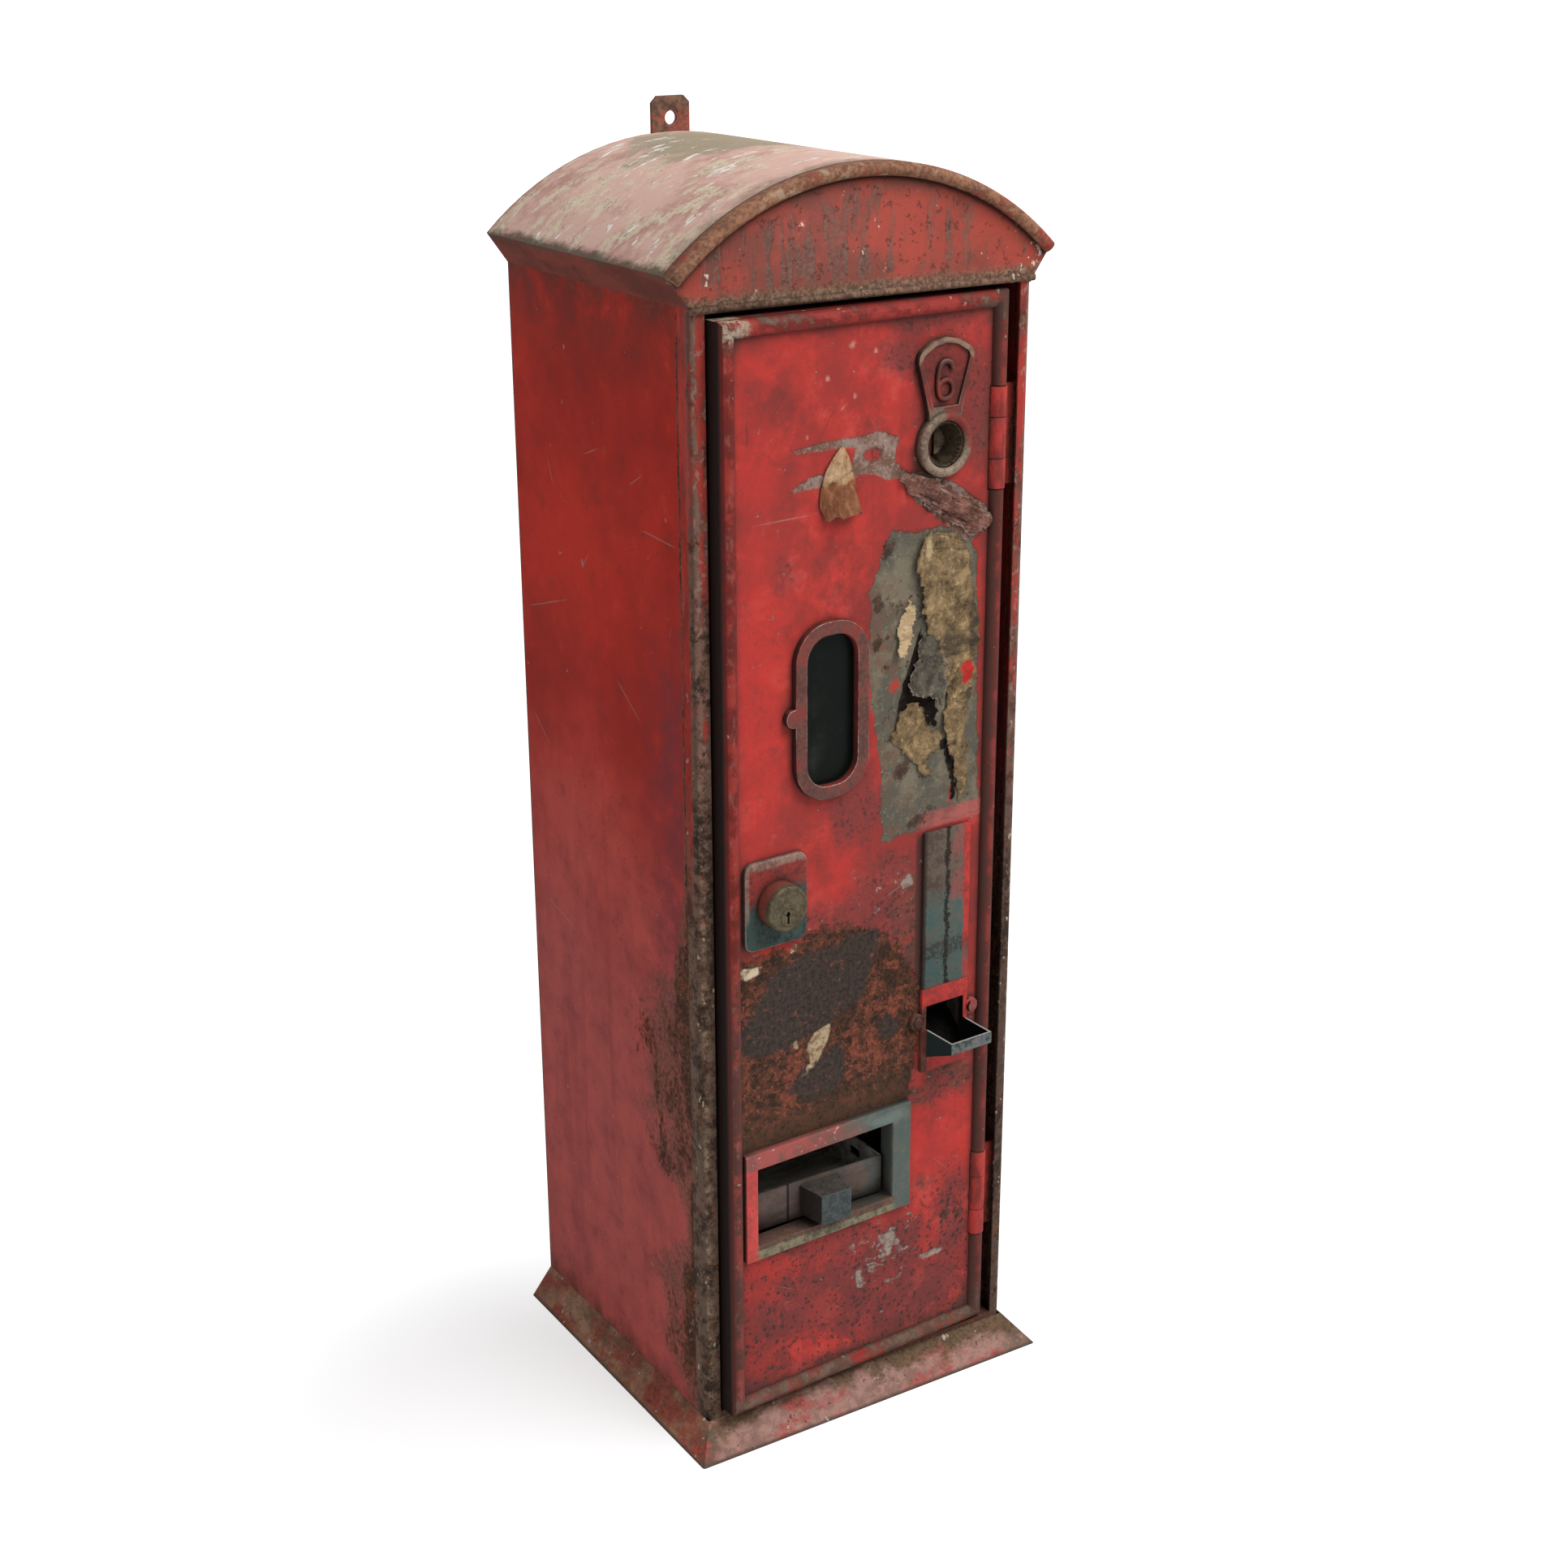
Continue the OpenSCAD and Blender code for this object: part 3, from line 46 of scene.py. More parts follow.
class Wire:
    """A shader socket that adds Math nodes when it is used in arithmetic."""

    def __init__(self, coat, socket):
        self.coat, self.socket = coat, socket

    def maths(self, operation, *others):
        return self.coat.node("ShaderNodeMath", {"operation": operation}, dict(enumerate((self, *others))))

    __add__ = __radd__ = partialmethod(maths, "ADD")
    __sub__ = partialmethod(maths, "SUBTRACT")
    __mul__ = __rmul__ = partialmethod(maths, "MULTIPLY")
    __truediv__ = partialmethod(maths, "DIVIDE")
    __or__ = partialmethod(maths, "MAXIMUM")
    __abs__ = partialmethod(maths, "ABSOLUTE")

    def __rsub__(self, other):
        return self.coat.node("ShaderNodeMath", {"operation": "SUBTRACT"}, {0: other, 1: self})

    def frayed(self, by, reach):
        """The same with a noise added, so that a border drawn from it frays."""
        return self + (by - 0.5) * reach

    def step(self, low, high):
        """0 below low, 1 above high, smooth between; falls where low is the larger."""
        return self.coat.node("ShaderNodeMapRange", {"interpolation_type": "SMOOTHSTEP"},
                              {"Value": self, "From Min": low, "From Max": high})

    def tint(self, below, above, low=0.42, high=0.58):
        """One tone below low, another above high."""
        return self.coat.mix(below, above, self.step(low, high))


class Coat:
    """One finish: the nodes of a new material, or of the world."""

    def __init__(self, owner):
        self.owner = bpy.data.materials.new(owner) if isinstance(owner, str) else owner
        self.owner.use_nodes = True
        self.tree = self.owner.node_tree
        self.shader = self.tree.nodes.get("Principled BSDF")
        if self.shader:
            self.at = self.node("ShaderNodeTexCoord", out="Object")

    def node(self, kind, settings=None, sockets=None, out=0):
        made = self.tree.nodes.new(kind)
        for name, value in (settings or {}).items():
            setattr(made, name, value)
        for key, value in (sockets or {}).items():
            self.feed(made.inputs[key], value)
        return Wire(self, made.outputs[out])

    def feed(self, socket, value):
        if isinstance(value, Wire):
            self.tree.links.new(value.socket, socket)
        elif socket.type == "RGBA":
            socket.default_value = (*value, 1)
        else:
            socket.default_value = value

    def mix(self, under, over, share):
        return self.node("ShaderNodeMix", {"data_type": "RGBA"}, {0: share, 6: under, 7: over}, 2)

    def layers(self, base, *others):
        """A base tone with others laid over it in turn, each with its share."""
        for tone, share in others:
            base = self.mix(base, tone, share)
        return base

    def noise(self, scale, detail=3.0, rough=0.55, stretch=None, swirl=0.0, at=None):
        at = at or (self.lay(stretch) if stretch else self.at)
        return self.node("ShaderNodeTexNoise", {}, {
            "Vector": at, "Scale": scale, "Detail": detail, "Roughness": rough, "Distortion": swirl})

    def cells(self, scale):
        return self.node("ShaderNodeTexVoronoi", {}, {"Vector": self.at, "Scale": scale}, "Distance")

    def lay(self, scale=(1, 1, 1), turn=(0, 0, 0), move=(0, 0, 0), at=None):
        return self.node("ShaderNodeMapping", {}, {
            "Vector": at or self.at, "Scale": scale, "Rotation": turn, "Location": move})

    def axes(self, at=None):
        split = self.node("ShaderNodeSeparateXYZ", {}, {"Vector": at or self.at})
        return [Wire(self, s) for s in split.socket.node.outputs]

    def facing(self):
        """The three parts of the surface's direction."""
        return self.axes(self.node("ShaderNodeTexCoord", out="Normal"))

    def blot(self, place, size, ruffle, rag, soft=0.5, turn=(0, 0, 0)):
        """A stain or scratch: 1 in its middle, 0 past its border, which a noise makes ragged."""
        local = self.node("ShaderNodeMapping", {"vector_type": "TEXTURE"}, {
            "Vector": self.at, "Location": place, "Rotation": turn, "Scale": size})
        depth = 1 - self.node("ShaderNodeVectorMath", {"operation": "LENGTH"}, {0: local}, "Value")
        return depth.frayed(ruffle, rag).step(0, soft)

    def edge(self, radius):
        """1 along the edges of a piece, 0 on its flats."""
        rounded = self.node("ShaderNodeBevel", {"samples": 6}, {"Radius": radius})
        flat = self.node("ShaderNodeNewGeometry", out="Normal")
        same = self.node("ShaderNodeVectorMath", {"operation": "DOT_PRODUCT"}, {0: rounded, 1: flat}, "Value")
        return same.step(0.985, 0.86)

    def crevice(self, reach):
        """1 deep in corners and seams, 0 in the open. Colours darkened with it are painted shade; rust and dirt
        are also put there with it.
        """
        open_sky = self.node("ShaderNodeAmbientOcclusion", {"samples": 6}, {"Distance": reach}, "AO")
        return open_sky.step(0.95, 0.25)

    def done(self, colour, rough, height=None, depth=0.0004, metal=0.0, gloss=0.08):
        """Joins a colour, a roughness and a relief (its depth in m) to the shader."""
        self.feed(self.shader.inputs["Base Color"], colour)
        self.feed(self.shader.inputs["Roughness"], rough)
        self.feed(self.shader.inputs["Metallic"], metal)
        self.shader.inputs["Specular IOR Level"].default_value = gloss
        if height is not None:
            self.feed(self.shader.inputs["Normal"], self.node(
                "ShaderNodeBump", {}, {"Strength": 1.0, "Distance": depth, "Height": height}))
        return self.owner


def covered(piece, material):
    """Gives a piece one finish all over."""
    piece.data.materials.clear()
    piece.data.materials.append(material)


def seen(coat):
    """1 for rays from the camera, a mirror or glass."""
    rays = coat.node("ShaderNodeLightPath").socket.node.outputs
    return reduce(or_, [
        Wire(coat, rays[f"Is {kind} Ray"]) for kind in ("Camera", "Glossy", "Transmission")])


bpy.ops.object.select_all(action="DESELECT")
bpy.ops.mesh.primitive_plane_add(size=120)
floor = bpy.context.object
floor.name = "floor"
pale = Coat("pale_floor")
pale.shader.inputs["Base Color"].default_value = (0.86, 0.86, 0.86, 1)
pale.shader.inputs["Roughness"].default_value = 0.9
away = pale.node("ShaderNodeVectorMath", {"operation": "DISTANCE"}, {0: pale.at, 1: (-0.2, -0.06, 0)}, "Value")
glow = pale.node("ShaderNodeEmission", {}, {"Color": (1, 1, 1), "Strength": 1.22})
lit = pale.node("ShaderNodeMixShader", {}, {
    0: seen(pale) * (0.5 + away.step(0.12, 0.34) * 0.5), 1: Wire(pale, pale.shader.outputs[0]), 2: glow})
pale.feed(pale.tree.nodes["Material Output"].inputs["Surface"], lit)
covered(floor, pale.owner)

sky = Coat(bpy.data.worlds.new("studio"))
bpy.context.scene.world = sky.owner
room = sky.tree.nodes["Background"]
room.inputs["Color"].default_value = (1, 1, 1, 1)
sky.feed(room.inputs["Strength"], 0.35 + seen(sky) * 0.65)

mid_height = Vector((0, 0, 0.4))
for lamp_name, place, watts, width in (
        ("key_lamp", (1.0, -1.7, 3.0), 105, 1.9),
        ("fill_lamp", (-2.4, -1.2, 1.5), 12, 2.0)):
    bpy.ops.object.light_add(type="AREA", location=place)
    lamp = bpy.context.object
    lamp.name = lamp_name
    lamp.data.energy, lamp.data.size = watts, width
    lamp.rotation_euler = (mid_height - lamp.location).to_track_quat("-Z", "Y").to_euler()

stand = (-0.7466, -1.2045, 0.9109)
aim, side, rise = (Vector(v) for v in (
    (0.4997, 0.7938, -0.3466), (0.8463, -0.5327, 0), (0.1846, 0.2933, 0.9380)))
roll = -0.00383
side, rise = side + roll * rise, rise - roll * side
bpy.ops.object.camera_add()
camera = bpy.context.object
camera.data.lens, camera.data.sensor_width = 54.90, 36
camera.matrix_world = Matrix.Translation(stand) @ Matrix((side, rise, -aim)).transposed().to_4x4()
bpy.context.scene.camera = camera
bpy.context.scene.view_settings.view_transform = "Standard"


# Side panels and front stiles: steel sheet in brown-red enamel, dull and scratched.
# The stiles are rounded angles welded on; rust has crept out from their seam.

def rust(coat):
    """Brown scale with orange bloom."""
    grain = coat.noise(420, 4, 0.7)
    bloom = coat.noise(75, 5, 0.7)
    brown = grain.tint((0.036, 0.024, 0.018), (0.115, 0.058, 0.036), 0.38, 0.64)
    return coat.mix(brown, (0.19, 0.065, 0.032), bloom.step(0.5, 0.66) * grain.step(0.42, 0.58))


def cad_finish(names, material):
    """Puts a finish on CAD nodes that show as they are."""
    for name in names.split():
        covered(nodes[name], material)


SAME_CORNER = 0.000002
SAME_FACE = math.radians(0.3)


def copied(node, name, flatten):
    """A copy of a CAD node, its doubled corners merged and, if wanted, its flat faces joined."""
    piece = bpy.data.objects.new(name, nodes[node].data.copy())
    bpy.context.scene.collection.objects.link(piece)
    bpy.ops.object.select_all(action="DESELECT")
    bpy.context.view_layer.objects.active = piece
    piece.select_set(True)
    bpy.ops.object.mode_set(mode="EDIT")
    bpy.ops.mesh.select_all(action="SELECT")
    bpy.ops.mesh.remove_doubles(threshold=SAME_CORNER)
    if flatten:
        bpy.ops.mesh.dissolve_limited(angle_limit=SAME_FACE)
    bpy.ops.mesh.select_all(action="DESELECT")
    bpy.ops.object.mode_set(mode="OBJECT")
    return piece


def dressed(node, body, material, soften=0.0, steps=2, angle=40):
    """A copy that stands for a CAD node, its edges softened by a bevel (width in m)."""
    piece = copied(node, node + "_dressed", soften)
    if soften:
        bevel = piece.modifiers.new("soften", "BEVEL")
        bevel.width, bevel.segments = soften, steps
        bevel.limit_method, bevel.angle_limit = "ANGLE", math.radians(angle)
        bpy.ops.object.modifier_apply(modifier="soften")
    bpy.ops.object.shade_smooth_by_angle(angle=math.radians(angle))
    covered(piece, material)
    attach(piece, body)
    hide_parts(node)


def side_coat(name):
    """Enamel, bright above and pinkish below, rusted along the stile."""
    coat = Coat(name)
    _, y, z = coat.axes()
    broad = coat.noise(7, 4, 0.55)
    streak = coat.noise(34, 4, 0.6, (1, 1, 0.09), 0.4)
    mottle = coat.noise(45, 6, 0.7)
    grain = coat.noise(340, 3, 0.6)
    enamel = (broad * 0.75 + mottle * 0.25).tint((0.47, 0.031, 0.019), (0.29, 0.022, 0.016), 0.36, 0.62)
    pinkish = (mottle * 0.7 + streak * 0.3).tint((0.40, 0.092, 0.08), (0.29, 0.07, 0.066), 0.36, 0.64)
    low = z.frayed(broad, 0.25).step(0.5, 0.24)
    plum = y.step(-0.03, -0.085) * abs(z - 0.37).step(0.2, 0.08)
    # A darker band at the top of the side, under the eave: painted shade, broken by mottling.
    shade_under_eave = z.step(0.64, 0.70) * (mottle + 0.2).step(0.4, 0.8)
    chips = coat.noise(95, 3, 0.7).step(0.70, 0.725)
    ruffle = coat.noise(120, 5, 0.7)
    # Scratches: y and z of the middle, half length (mm) and tilt.
    scratched = reduce(or_, [
        coat.blot((0, my / 1000, mz / 1000), (1, length / 1000, 0.0008), ruffle, 1.4, turn=(tilt, 0, 0))
        for my, mz, length, tilt in (
            (-69, 577, 21, 0.05), (74, 506, 31, -0.3), (10, 612, 12, -0.35), (-43, 605, 11, -0.5),
            (62, 590, 9, 1.2), (20, 545, 10, -0.9), (86, 420, 17, 0.7), (-30, 470, 22, 0.6),
            (70, 300, 24, 0.25), (10, 120, 18, 0.9))])
    # Rust creeps back from the stile's seam, further in two places low down.
    seam = y + 0.094
    upper = z.step(0.345, 0.265) * z.step(0.15, 0.2)
    lower = z.step(0.145, 0.105) * z.step(0.025, 0.05)
    creep = 0.002 + z.step(0.42, 0.33) * 0.006 + upper * 0.044 + lower * 0.03
    torn = coat.noise(46, 6, 0.7, (1, 1, 0.55))
    near = (1 - seam / creep) | -1.2
    stain = (near * 0.75 + (mottle - 0.5) * 1.8 + (grain - 0.5) * 0.6).step(-0.35, 0.35)
    eaten = (near * 0.6 + (torn - 0.5) * 3.2 + (grain - 0.5) * 0.45).step(0.14, 0.58) * 0.92
    foot = (z.step(0.036, 0.016) | z.step(0.69, 0.712) * 0.7) * mottle.step(0.35, 0.6)
    pits = coat.noise(330, 2).step(0.68, 0.74) * coat.noise(11, 3).step(0.45, 0.7)
    scale = coat.mix(rust(coat), (0.035, 0.022, 0.016), coat.noise(85, 5, 0.7).step(0.5, 0.6) * 0.75)
    crumbs = coat.noise(260, 3, 0.7).step(0.66, 0.70)
    colour = coat.layers(
        enamel,
        (pinkish, low * 0.85),
        ((0.17, 0.034, 0.042), plum * mottle.step(0.3, 0.6) * 0.75),
        ((0.13, 0.019, 0.015), streak.step(0.55, 0.72) * 0.18),
        ((0.13, 0.028, 0.022), mottle.step(0.54, 0.7) * 0.25),
        ((0.44, 0.075, 0.05), mottle.step(0.42, 0.32) * 0.18),
        ((0.12, 0.024, 0.019), grain.step(0.57, 0.72) * 0.3),
        ((0.13, 0.03, 0.024), shade_under_eave * 0.6),
        ((0.38, 0.19, 0.15), scratched * 0.45),
        ((0.36, 0.2, 0.17), chips * 0.6),
        (grain.tint((0.20, 0.075, 0.055), (0.12, 0.052, 0.038)), stain * 0.8),
        (scale, eaten | pits * 0.8 | foot * 0.7),
        ((0.34, 0.25, 0.16), crumbs * eaten * 0.8))
    height = (coat.noise(10, 2) * 2.0 + grain * 0.15 - eaten * (0.6 + grain * 1.6) - pits * 0.8
              - scratched * 0.5)
    return coat.done(colour, 0.46 + eaten * 0.4 + broad * 0.12, height, 0.0007, gloss=0.02)


def stile_coat(name, low, high, bare_dark):
    """Enamel that is more and more worn off from one height (m) down to another."""
    coat = Coat(name)
    _, y, z = coat.axes()
    nx, ny, _ = coat.facing()
    crest = abs(nx * ny).step(0.2, 0.48)
    worn = coat.noise(75, 6, 0.72, (1, 1, 0.32))
    grain = coat.noise(340, 4, 0.7)
    cloud = coat.noise(60, 5, 0.7, (1, 1, 0.5))
    crumble = coat.noise(130, 6, 0.75)
    bare = coat.layers(
        rust(coat),
        (bare_dark, (crumble * 0.6 + cloud * 0.4).step(0.44, 0.56) * 0.8),
        ((0.02, 0.017, 0.015), cloud.step(0.5, 0.4) * crumble.step(0.58, 0.44) * 0.8),
        ((0.25, 0.125, 0.095), (0.4 + crest * 0.6) * (crumble * 0.5 + cloud * 0.5).step(0.4, 0.54)
         * z.step(0.3, 0.5) * 0.85),
        ((0.27, 0.19, 0.12), crest * crumble.step(0.54, 0.6) * z.step(0.5, 0.3) * 0.7))
    share = (crest * 0.16 + worn * 1.1 + z.step(high, low) * 0.5 + grain * 0.3).step(0.7, 0.88)
    flange = abs(nx).step(0.8, 0.97) * y.frayed(cloud, 0.006).step(-0.1035, -0.1005) * z.step(0.34, 0.46)
    lip = (abs(y + 0.1045).step(0.0035, 0.0012) * (cloud * 0.6 + crumble * 0.4).step(0.45, 0.55)
           * z.step(0.36, 0.46))
    pinked = coat.noise(210, 4, 0.7, (1, 1, 0.7)).step(0.55, 0.62) * (crest | y.step(-0.1055, -0.1075))
    flecks = coat.noise(190, 2, stretch=(1, 1, 0.6)).step(0.68, 0.71)
    colour = coat.layers(
        worn.tint((0.34, 0.04, 0.03), (0.15, 0.027, 0.022), 0.42, 0.6),
        (bare, share),
        (cloud.tint((0.36, 0.027, 0.019), (0.22, 0.021, 0.016), 0.4, 0.6), flange * 0.92),
        ((0.066, 0.054, 0.04), lip * 0.6),
        ((0.33, 0.18, 0.145), pinked * z.step(0.36, 0.5) * 0.6),
        # Near black in corners and seams: painted shade.
        ((0.02, 0.016, 0.013), coat.crevice(0.009) * 0.7),
        ((0.42, 0.34, 0.24), flecks * z.step(0.62, 0.3) * 0.8))
    return coat.done(colour, 0.5 + share * 0.3, grain * 0.6 - share * 0.6 + worn)


cad_finish("side_panel_left side_panel_right", side_coat("side_enamel"))
dressed("front_stile_left", "cabinet",
        stile_coat("left_stile_enamel", 0.15, 0.74, (0.15, 0.102, 0.073)))
dressed("front_stile_right", "cabinet",
        stile_coat("right_stile_enamel", 0.1, 0.7, (0.09, 0.06, 0.05)))


# Floor plate, sill and flared skirt: folded strips soldered round the foot, their
# red rubbed to pink primer in front and stained brown along the sides.

def skirt_coat(name, red, rubbed_tone, rubbed, brown):
    """Enamel rubbed to a lighter tone and stained brown; each wear has two noise limits."""
    coat = Coat(name)
    x, y, z = coat.axes()
    along = coat.noise(46, 6, 0.7, (0.6, 0.6, 1.4))
    grain = coat.noise(380, 4, 0.7)
    stain = coat.noise(38, 6, 0.72, (0.5, 0.5, 1))
    pink = coat.noise(110, 5, 0.72).tint(rubbed_tone, tuple(c * 0.62 for c in rubbed_tone), 0.4, 0.62)
    corner = (abs(x).step(0.108, 0.118) * y.step(-0.1, -0.106)) * coat.noise(90, 4).step(0.35, 0.6)
    colour = coat.layers(
        grain.tint(red, tuple(c * 0.55 for c in red), 0.4, 0.66),
        (pink, (along + grain * 0.2).step(*rubbed)),
        (grain.tint((0.15, 0.088, 0.05), (0.085, 0.055, 0.034), 0.4, 0.62),
         (stain + z.step(0.003, 0.02) * 0.2).step(*brown)),
        ((0.04, 0.032, 0.025), z.step(0.0026, 0.0004) * 0.85),
        ((0.085, 0.07, 0.048), corner * 0.8),
        ((0.48, 0.43, 0.36), coat.noise(150, 3).step(0.69, 0.715) * 0.8),
        ((0.06, 0.036, 0.026), coat.noise(280, 2).step(0.66, 0.7) * 0.8))
    return coat.done(colour, 0.62, grain + along * 0.8)


dressed("skirt_front_strip", "cabinet", skirt_coat(
    "front_skirt_enamel", (0.39, 0.085, 0.075), (0.35, 0.195, 0.158), (0.47, 0.6), (0.56, 0.68)), 0.0005)
for hand in ("left", "right"):
    dressed(f"skirt_{hand}_strip", "cabinet", skirt_coat(
        f"{hand}_skirt_enamel", (0.28, 0.06, 0.04), (0.34, 0.2, 0.125), (0.49, 0.69), (0.57, 0.82)), 0.0005)
sill = Coat("sill_enamel")
sill_grain = sill.noise(240, 4, 0.7)
cad_finish("front_sill", sill.done(
    sill_grain.tint((0.09, 0.032, 0.024), rust(sill), 0.42, 0.6), 0.7, sill_grain))
foot_plate = Coat("floor_plate_steel")
cad_finish("floor_plate", foot_plate.done(rust(foot_plate), 0.8, foot_plate.noise(300, 4)))


# Back panel and the works inside: rolled sheet, plain or dull galvanised, with
# thumbed grime and a little rust at the cut edges. Spot-welded and screwed in.

def sheet_coat(name, light, dark, rusted):
    """Dull metal of two tones, with rust spots between two noise limits."""
    coat = Coat(name)
    cloud = coat.noise(18, 5, 0.65)
    spots = (coat.noise(55, 5, 0.7) + coat.edge(0.002) * 0.12 + coat.crevice(0.02) * 0.12).step(*rusted)
    metal = (cloud + coat.cells(120) * 0.25).tint(light, dark, 0.42, 0.75)
    return coat.done(coat.mix(metal, rust(coat), spots), 0.42 + spots * 0.4 + cloud * 0.15,
                     coat.noise(420, 3) * 0.4 - spots, 0.0003, (1 - spots) * 0.55)


tinned = sheet_coat("galvanised_sheet", (0.31, 0.30, 0.275), (0.13, 0.118, 0.1), (0.56, 0.70))
bare_steel = sheet_coat("bare_steel", (0.36, 0.35, 0.33), (0.18, 0.165, 0.15), (0.56, 0.68))
cad_finish("upper_cross_rail lower_cross_rail packet_column drawer_shelf cash_box glass_retainer "
           "coin_chute", tinned)
cad_finish("lock_keeper drawer_guides pawl_pin flap_pin gate_pin lock_cam knob_screw follower_rod", bare_steel)

back = Coat("back_panel_paint")
grain = back.noise(320, 4, 0.7)
drips = back.noise(50, 4, stretch=(1, 1, 0.06))
bare = (back.noise(13, 6, 0.68) + grain * 0.25 + back.edge(0.004) * 0.15).step(0.58, 0.72)
colour = back.mix(drips.tint((0.23, 0.05, 0.035), (0.12, 0.035, 0.026), 0.4, 0.66), rust(back), bare)
cad_finish("back_panel", back.done(colour, 0.6 + bare * 0.25, grain * 0.6 - bare * 0.8, 0.0005))


# Barrel roof with sloping eaves: one sheet rolled over and folded down at both
# sides. The sun has bleached its red to pinkish grey; dirt lies along the eaves.

roof = Coat("bleached_roof_paint")
x, y, z = roof.axes()
_, _, nz = roof.facing()
cloud = roof.noise(11, 5, 0.62)
patch = roof.noise(38, 6, 0.72)
brushed = roof.noise(110, 6, 0.72, (0.55, 1, 0.55))
grain = roof.noise(420, 3, 0.65)
band = (abs((y - 0.045).frayed(cloud, 0.16)).step(0.06, 0.01)
        * abs((x + 0.01).frayed(patch, 0.1)).step(0.07, 0.02))
dashes = roof.noise(105, 4, 0.65, at=roof.lay((0.45, 1.0, 0.45), move=(0.3, 0, 0))).step(0.61, 0.66)
edge_dirt = abs(x).frayed(roof.noise(90, 6, 0.75), 0.012).step(0.1215, 0.126)
front_dirt = y.frayed(roof.noise(45, 5, 0.72), 0.045).step(-0.09, -0.105)
eave = roof.layers(
    roof.noise(45, 5, 0.65, (1, 0.35, 1)).tint((0.19, 0.05, 0.038), (0.115, 0.037, 0.029), 0.38, 0.62),
    (rust(roof), roof.noise(60, 5, 0.7).step(0.6, 0.7) * 0.7),
    ((0.08, 0.06, 0.045), z.step(0.7225, 0.727) * patch.step(0.4, 0.55) * 0.8))
colour = roof.layers(
    (cloud * 0.5 + patch * 0.5).tint((0.60, 0.39, 0.33), (0.42, 0.225, 0.19), 0.43, 0.58),
    ((0.62, 0.52, 0.39), (patch * 0.55 + brushed * 0.45).step(0.48, 0.57) * 0.9),
    ((0.74, 0.56, 0.49), x.step(-0.03, 0.05) * (cloud * 0.5 + brushed * 0.5).step(0.34, 0.56) * 0.85),
    ((0.30, 0.26, 0.18), (band * 0.9 + patch * 0.7 + brushed * 0.3 - 0.5).step(0.1, 0.75) * 0.85),
    ((0.24, 0.17, 0.125), (grain * 0.45 + patch * 0.55).step(0.54, 0.64) * 0.6),
    ((0.74, 0.71, 0.65), dashes * x.step(0.03, -0.03) * 0.9),
    ((0.085, 0.065, 0.045), edge_dirt * 0.9 | front_dirt * 0.45),
    (eave, nz.step(0.0, -0.2)))
height = grain * 0.5 + brushed * 0.6 + cloud * 1.5 + dashes * 0.5
dressed("roof_vault", "cabinet", roof.done(colour, 0.7, height, 0.0005, gloss=0.02), angle=28)


# Rim and gable: a half-round moulding soldered over the roof's front edge, and the
# sheet that closes the arch, its foot rolled to a lip. The rim is rubbed to rust.

rim = Coat("rubbed_rim")
x, y, _ = rim.axes()
wear = rim.noise(40, 6, 0.72)
grain = rim.noise(360, 4, 0.7)
red = grain.tint((0.30, 0.055, 0.042), (0.2, 0.04, 0.032), 0.4, 0.66)
colour = rim.layers(
    (grain * 0.6 + wear * 0.4).tint((0.29, 0.135, 0.078), (0.13, 0.064, 0.041), 0.4, 0.6),
    ((0.34, 0.24, 0.16), rim.noise(140, 4).step(0.56, 0.68) * y.step(-0.106, -0.1095) * 0.8),
    (red, (wear + x.step(0.03, 0.12) * 0.1).step(0.57, 0.66) * 0.8),
    # Dark in corners and seams: painted shade.
    ((0.035, 0.026, 0.02), rim.crevice(0.008) * 0.8))
dressed("roof_rim", "cabinet", rim.done(colour, 0.68, grain + wear * 1.5, 0.0005), angle=50)

gable = Coat("gable_enamel")
x, _, z = gable.axes()
broad = gable.noise(22, 6, 0.66)
grain = gable.noise(360, 4, 0.7)
scuffs = gable.noise(120, 3, 0.6, (1, 1, 0.14)).step(0.49, 0.58)
scuffs = scuffs * z.frayed(broad, 0.02).step(0.714, 0.722) * (
    (z - 0.725) + abs(x) * 0.25 + (broad - 0.5) * 0.03).step(0.047, 0.037)
lip = z.frayed(gable.noise(80, 6, 0.72), 0.012).step(0.7185, 0.7115)
spots = gable.noise(200, 4, 0.72).step(0.60, 0.66)
chips = (gable.noise(100, 4, 0.75, (1, 1, 0.7)) + x.step(0.06, 0.1) * z.step(0.735, 0.72) * 0.09
         + abs(x - 0.01).step(0.03, 0.01) * 0.02).step(0.68, 0.70)
colour = gable.layers(
    broad.tint((0.30, 0.05, 0.035), (0.17, 0.044, 0.032), 0.4, 0.6),
    (grain.tint((0.075, 0.045, 0.034), (0.13, 0.085, 0.066), 0.45, 0.6),
     scuffs * (grain * 0.7 + broad * 0.6).step(0.5, 0.68) * 0.75),
    (grain.tint((0.20, 0.13, 0.085), (0.075, 0.05, 0.034), 0.38, 0.6), lip * 0.9),
    # Dark in corners and seams: painted shade.
    ((0.045, 0.03, 0.024), gable.crevice(0.012) * 0.8),
    ((0.085, 0.05, 0.036), spots * 0.75),
    ((0.55, 0.44, 0.37), chips * 0.9))
height = grain * 0.6 + broad * 1.8 - spots * 0.8 - scuffs * 0.4
dressed("gable_panel", "cabinet", gable.done(colour, 0.52 + lip * 0.3, height, 0.0005), angle=50)


# Hanging strap: a flat bar with clipped corners and a hole for a wall hook, held
# to the back panel by two rivets. Brown with rust, red left at its foot.

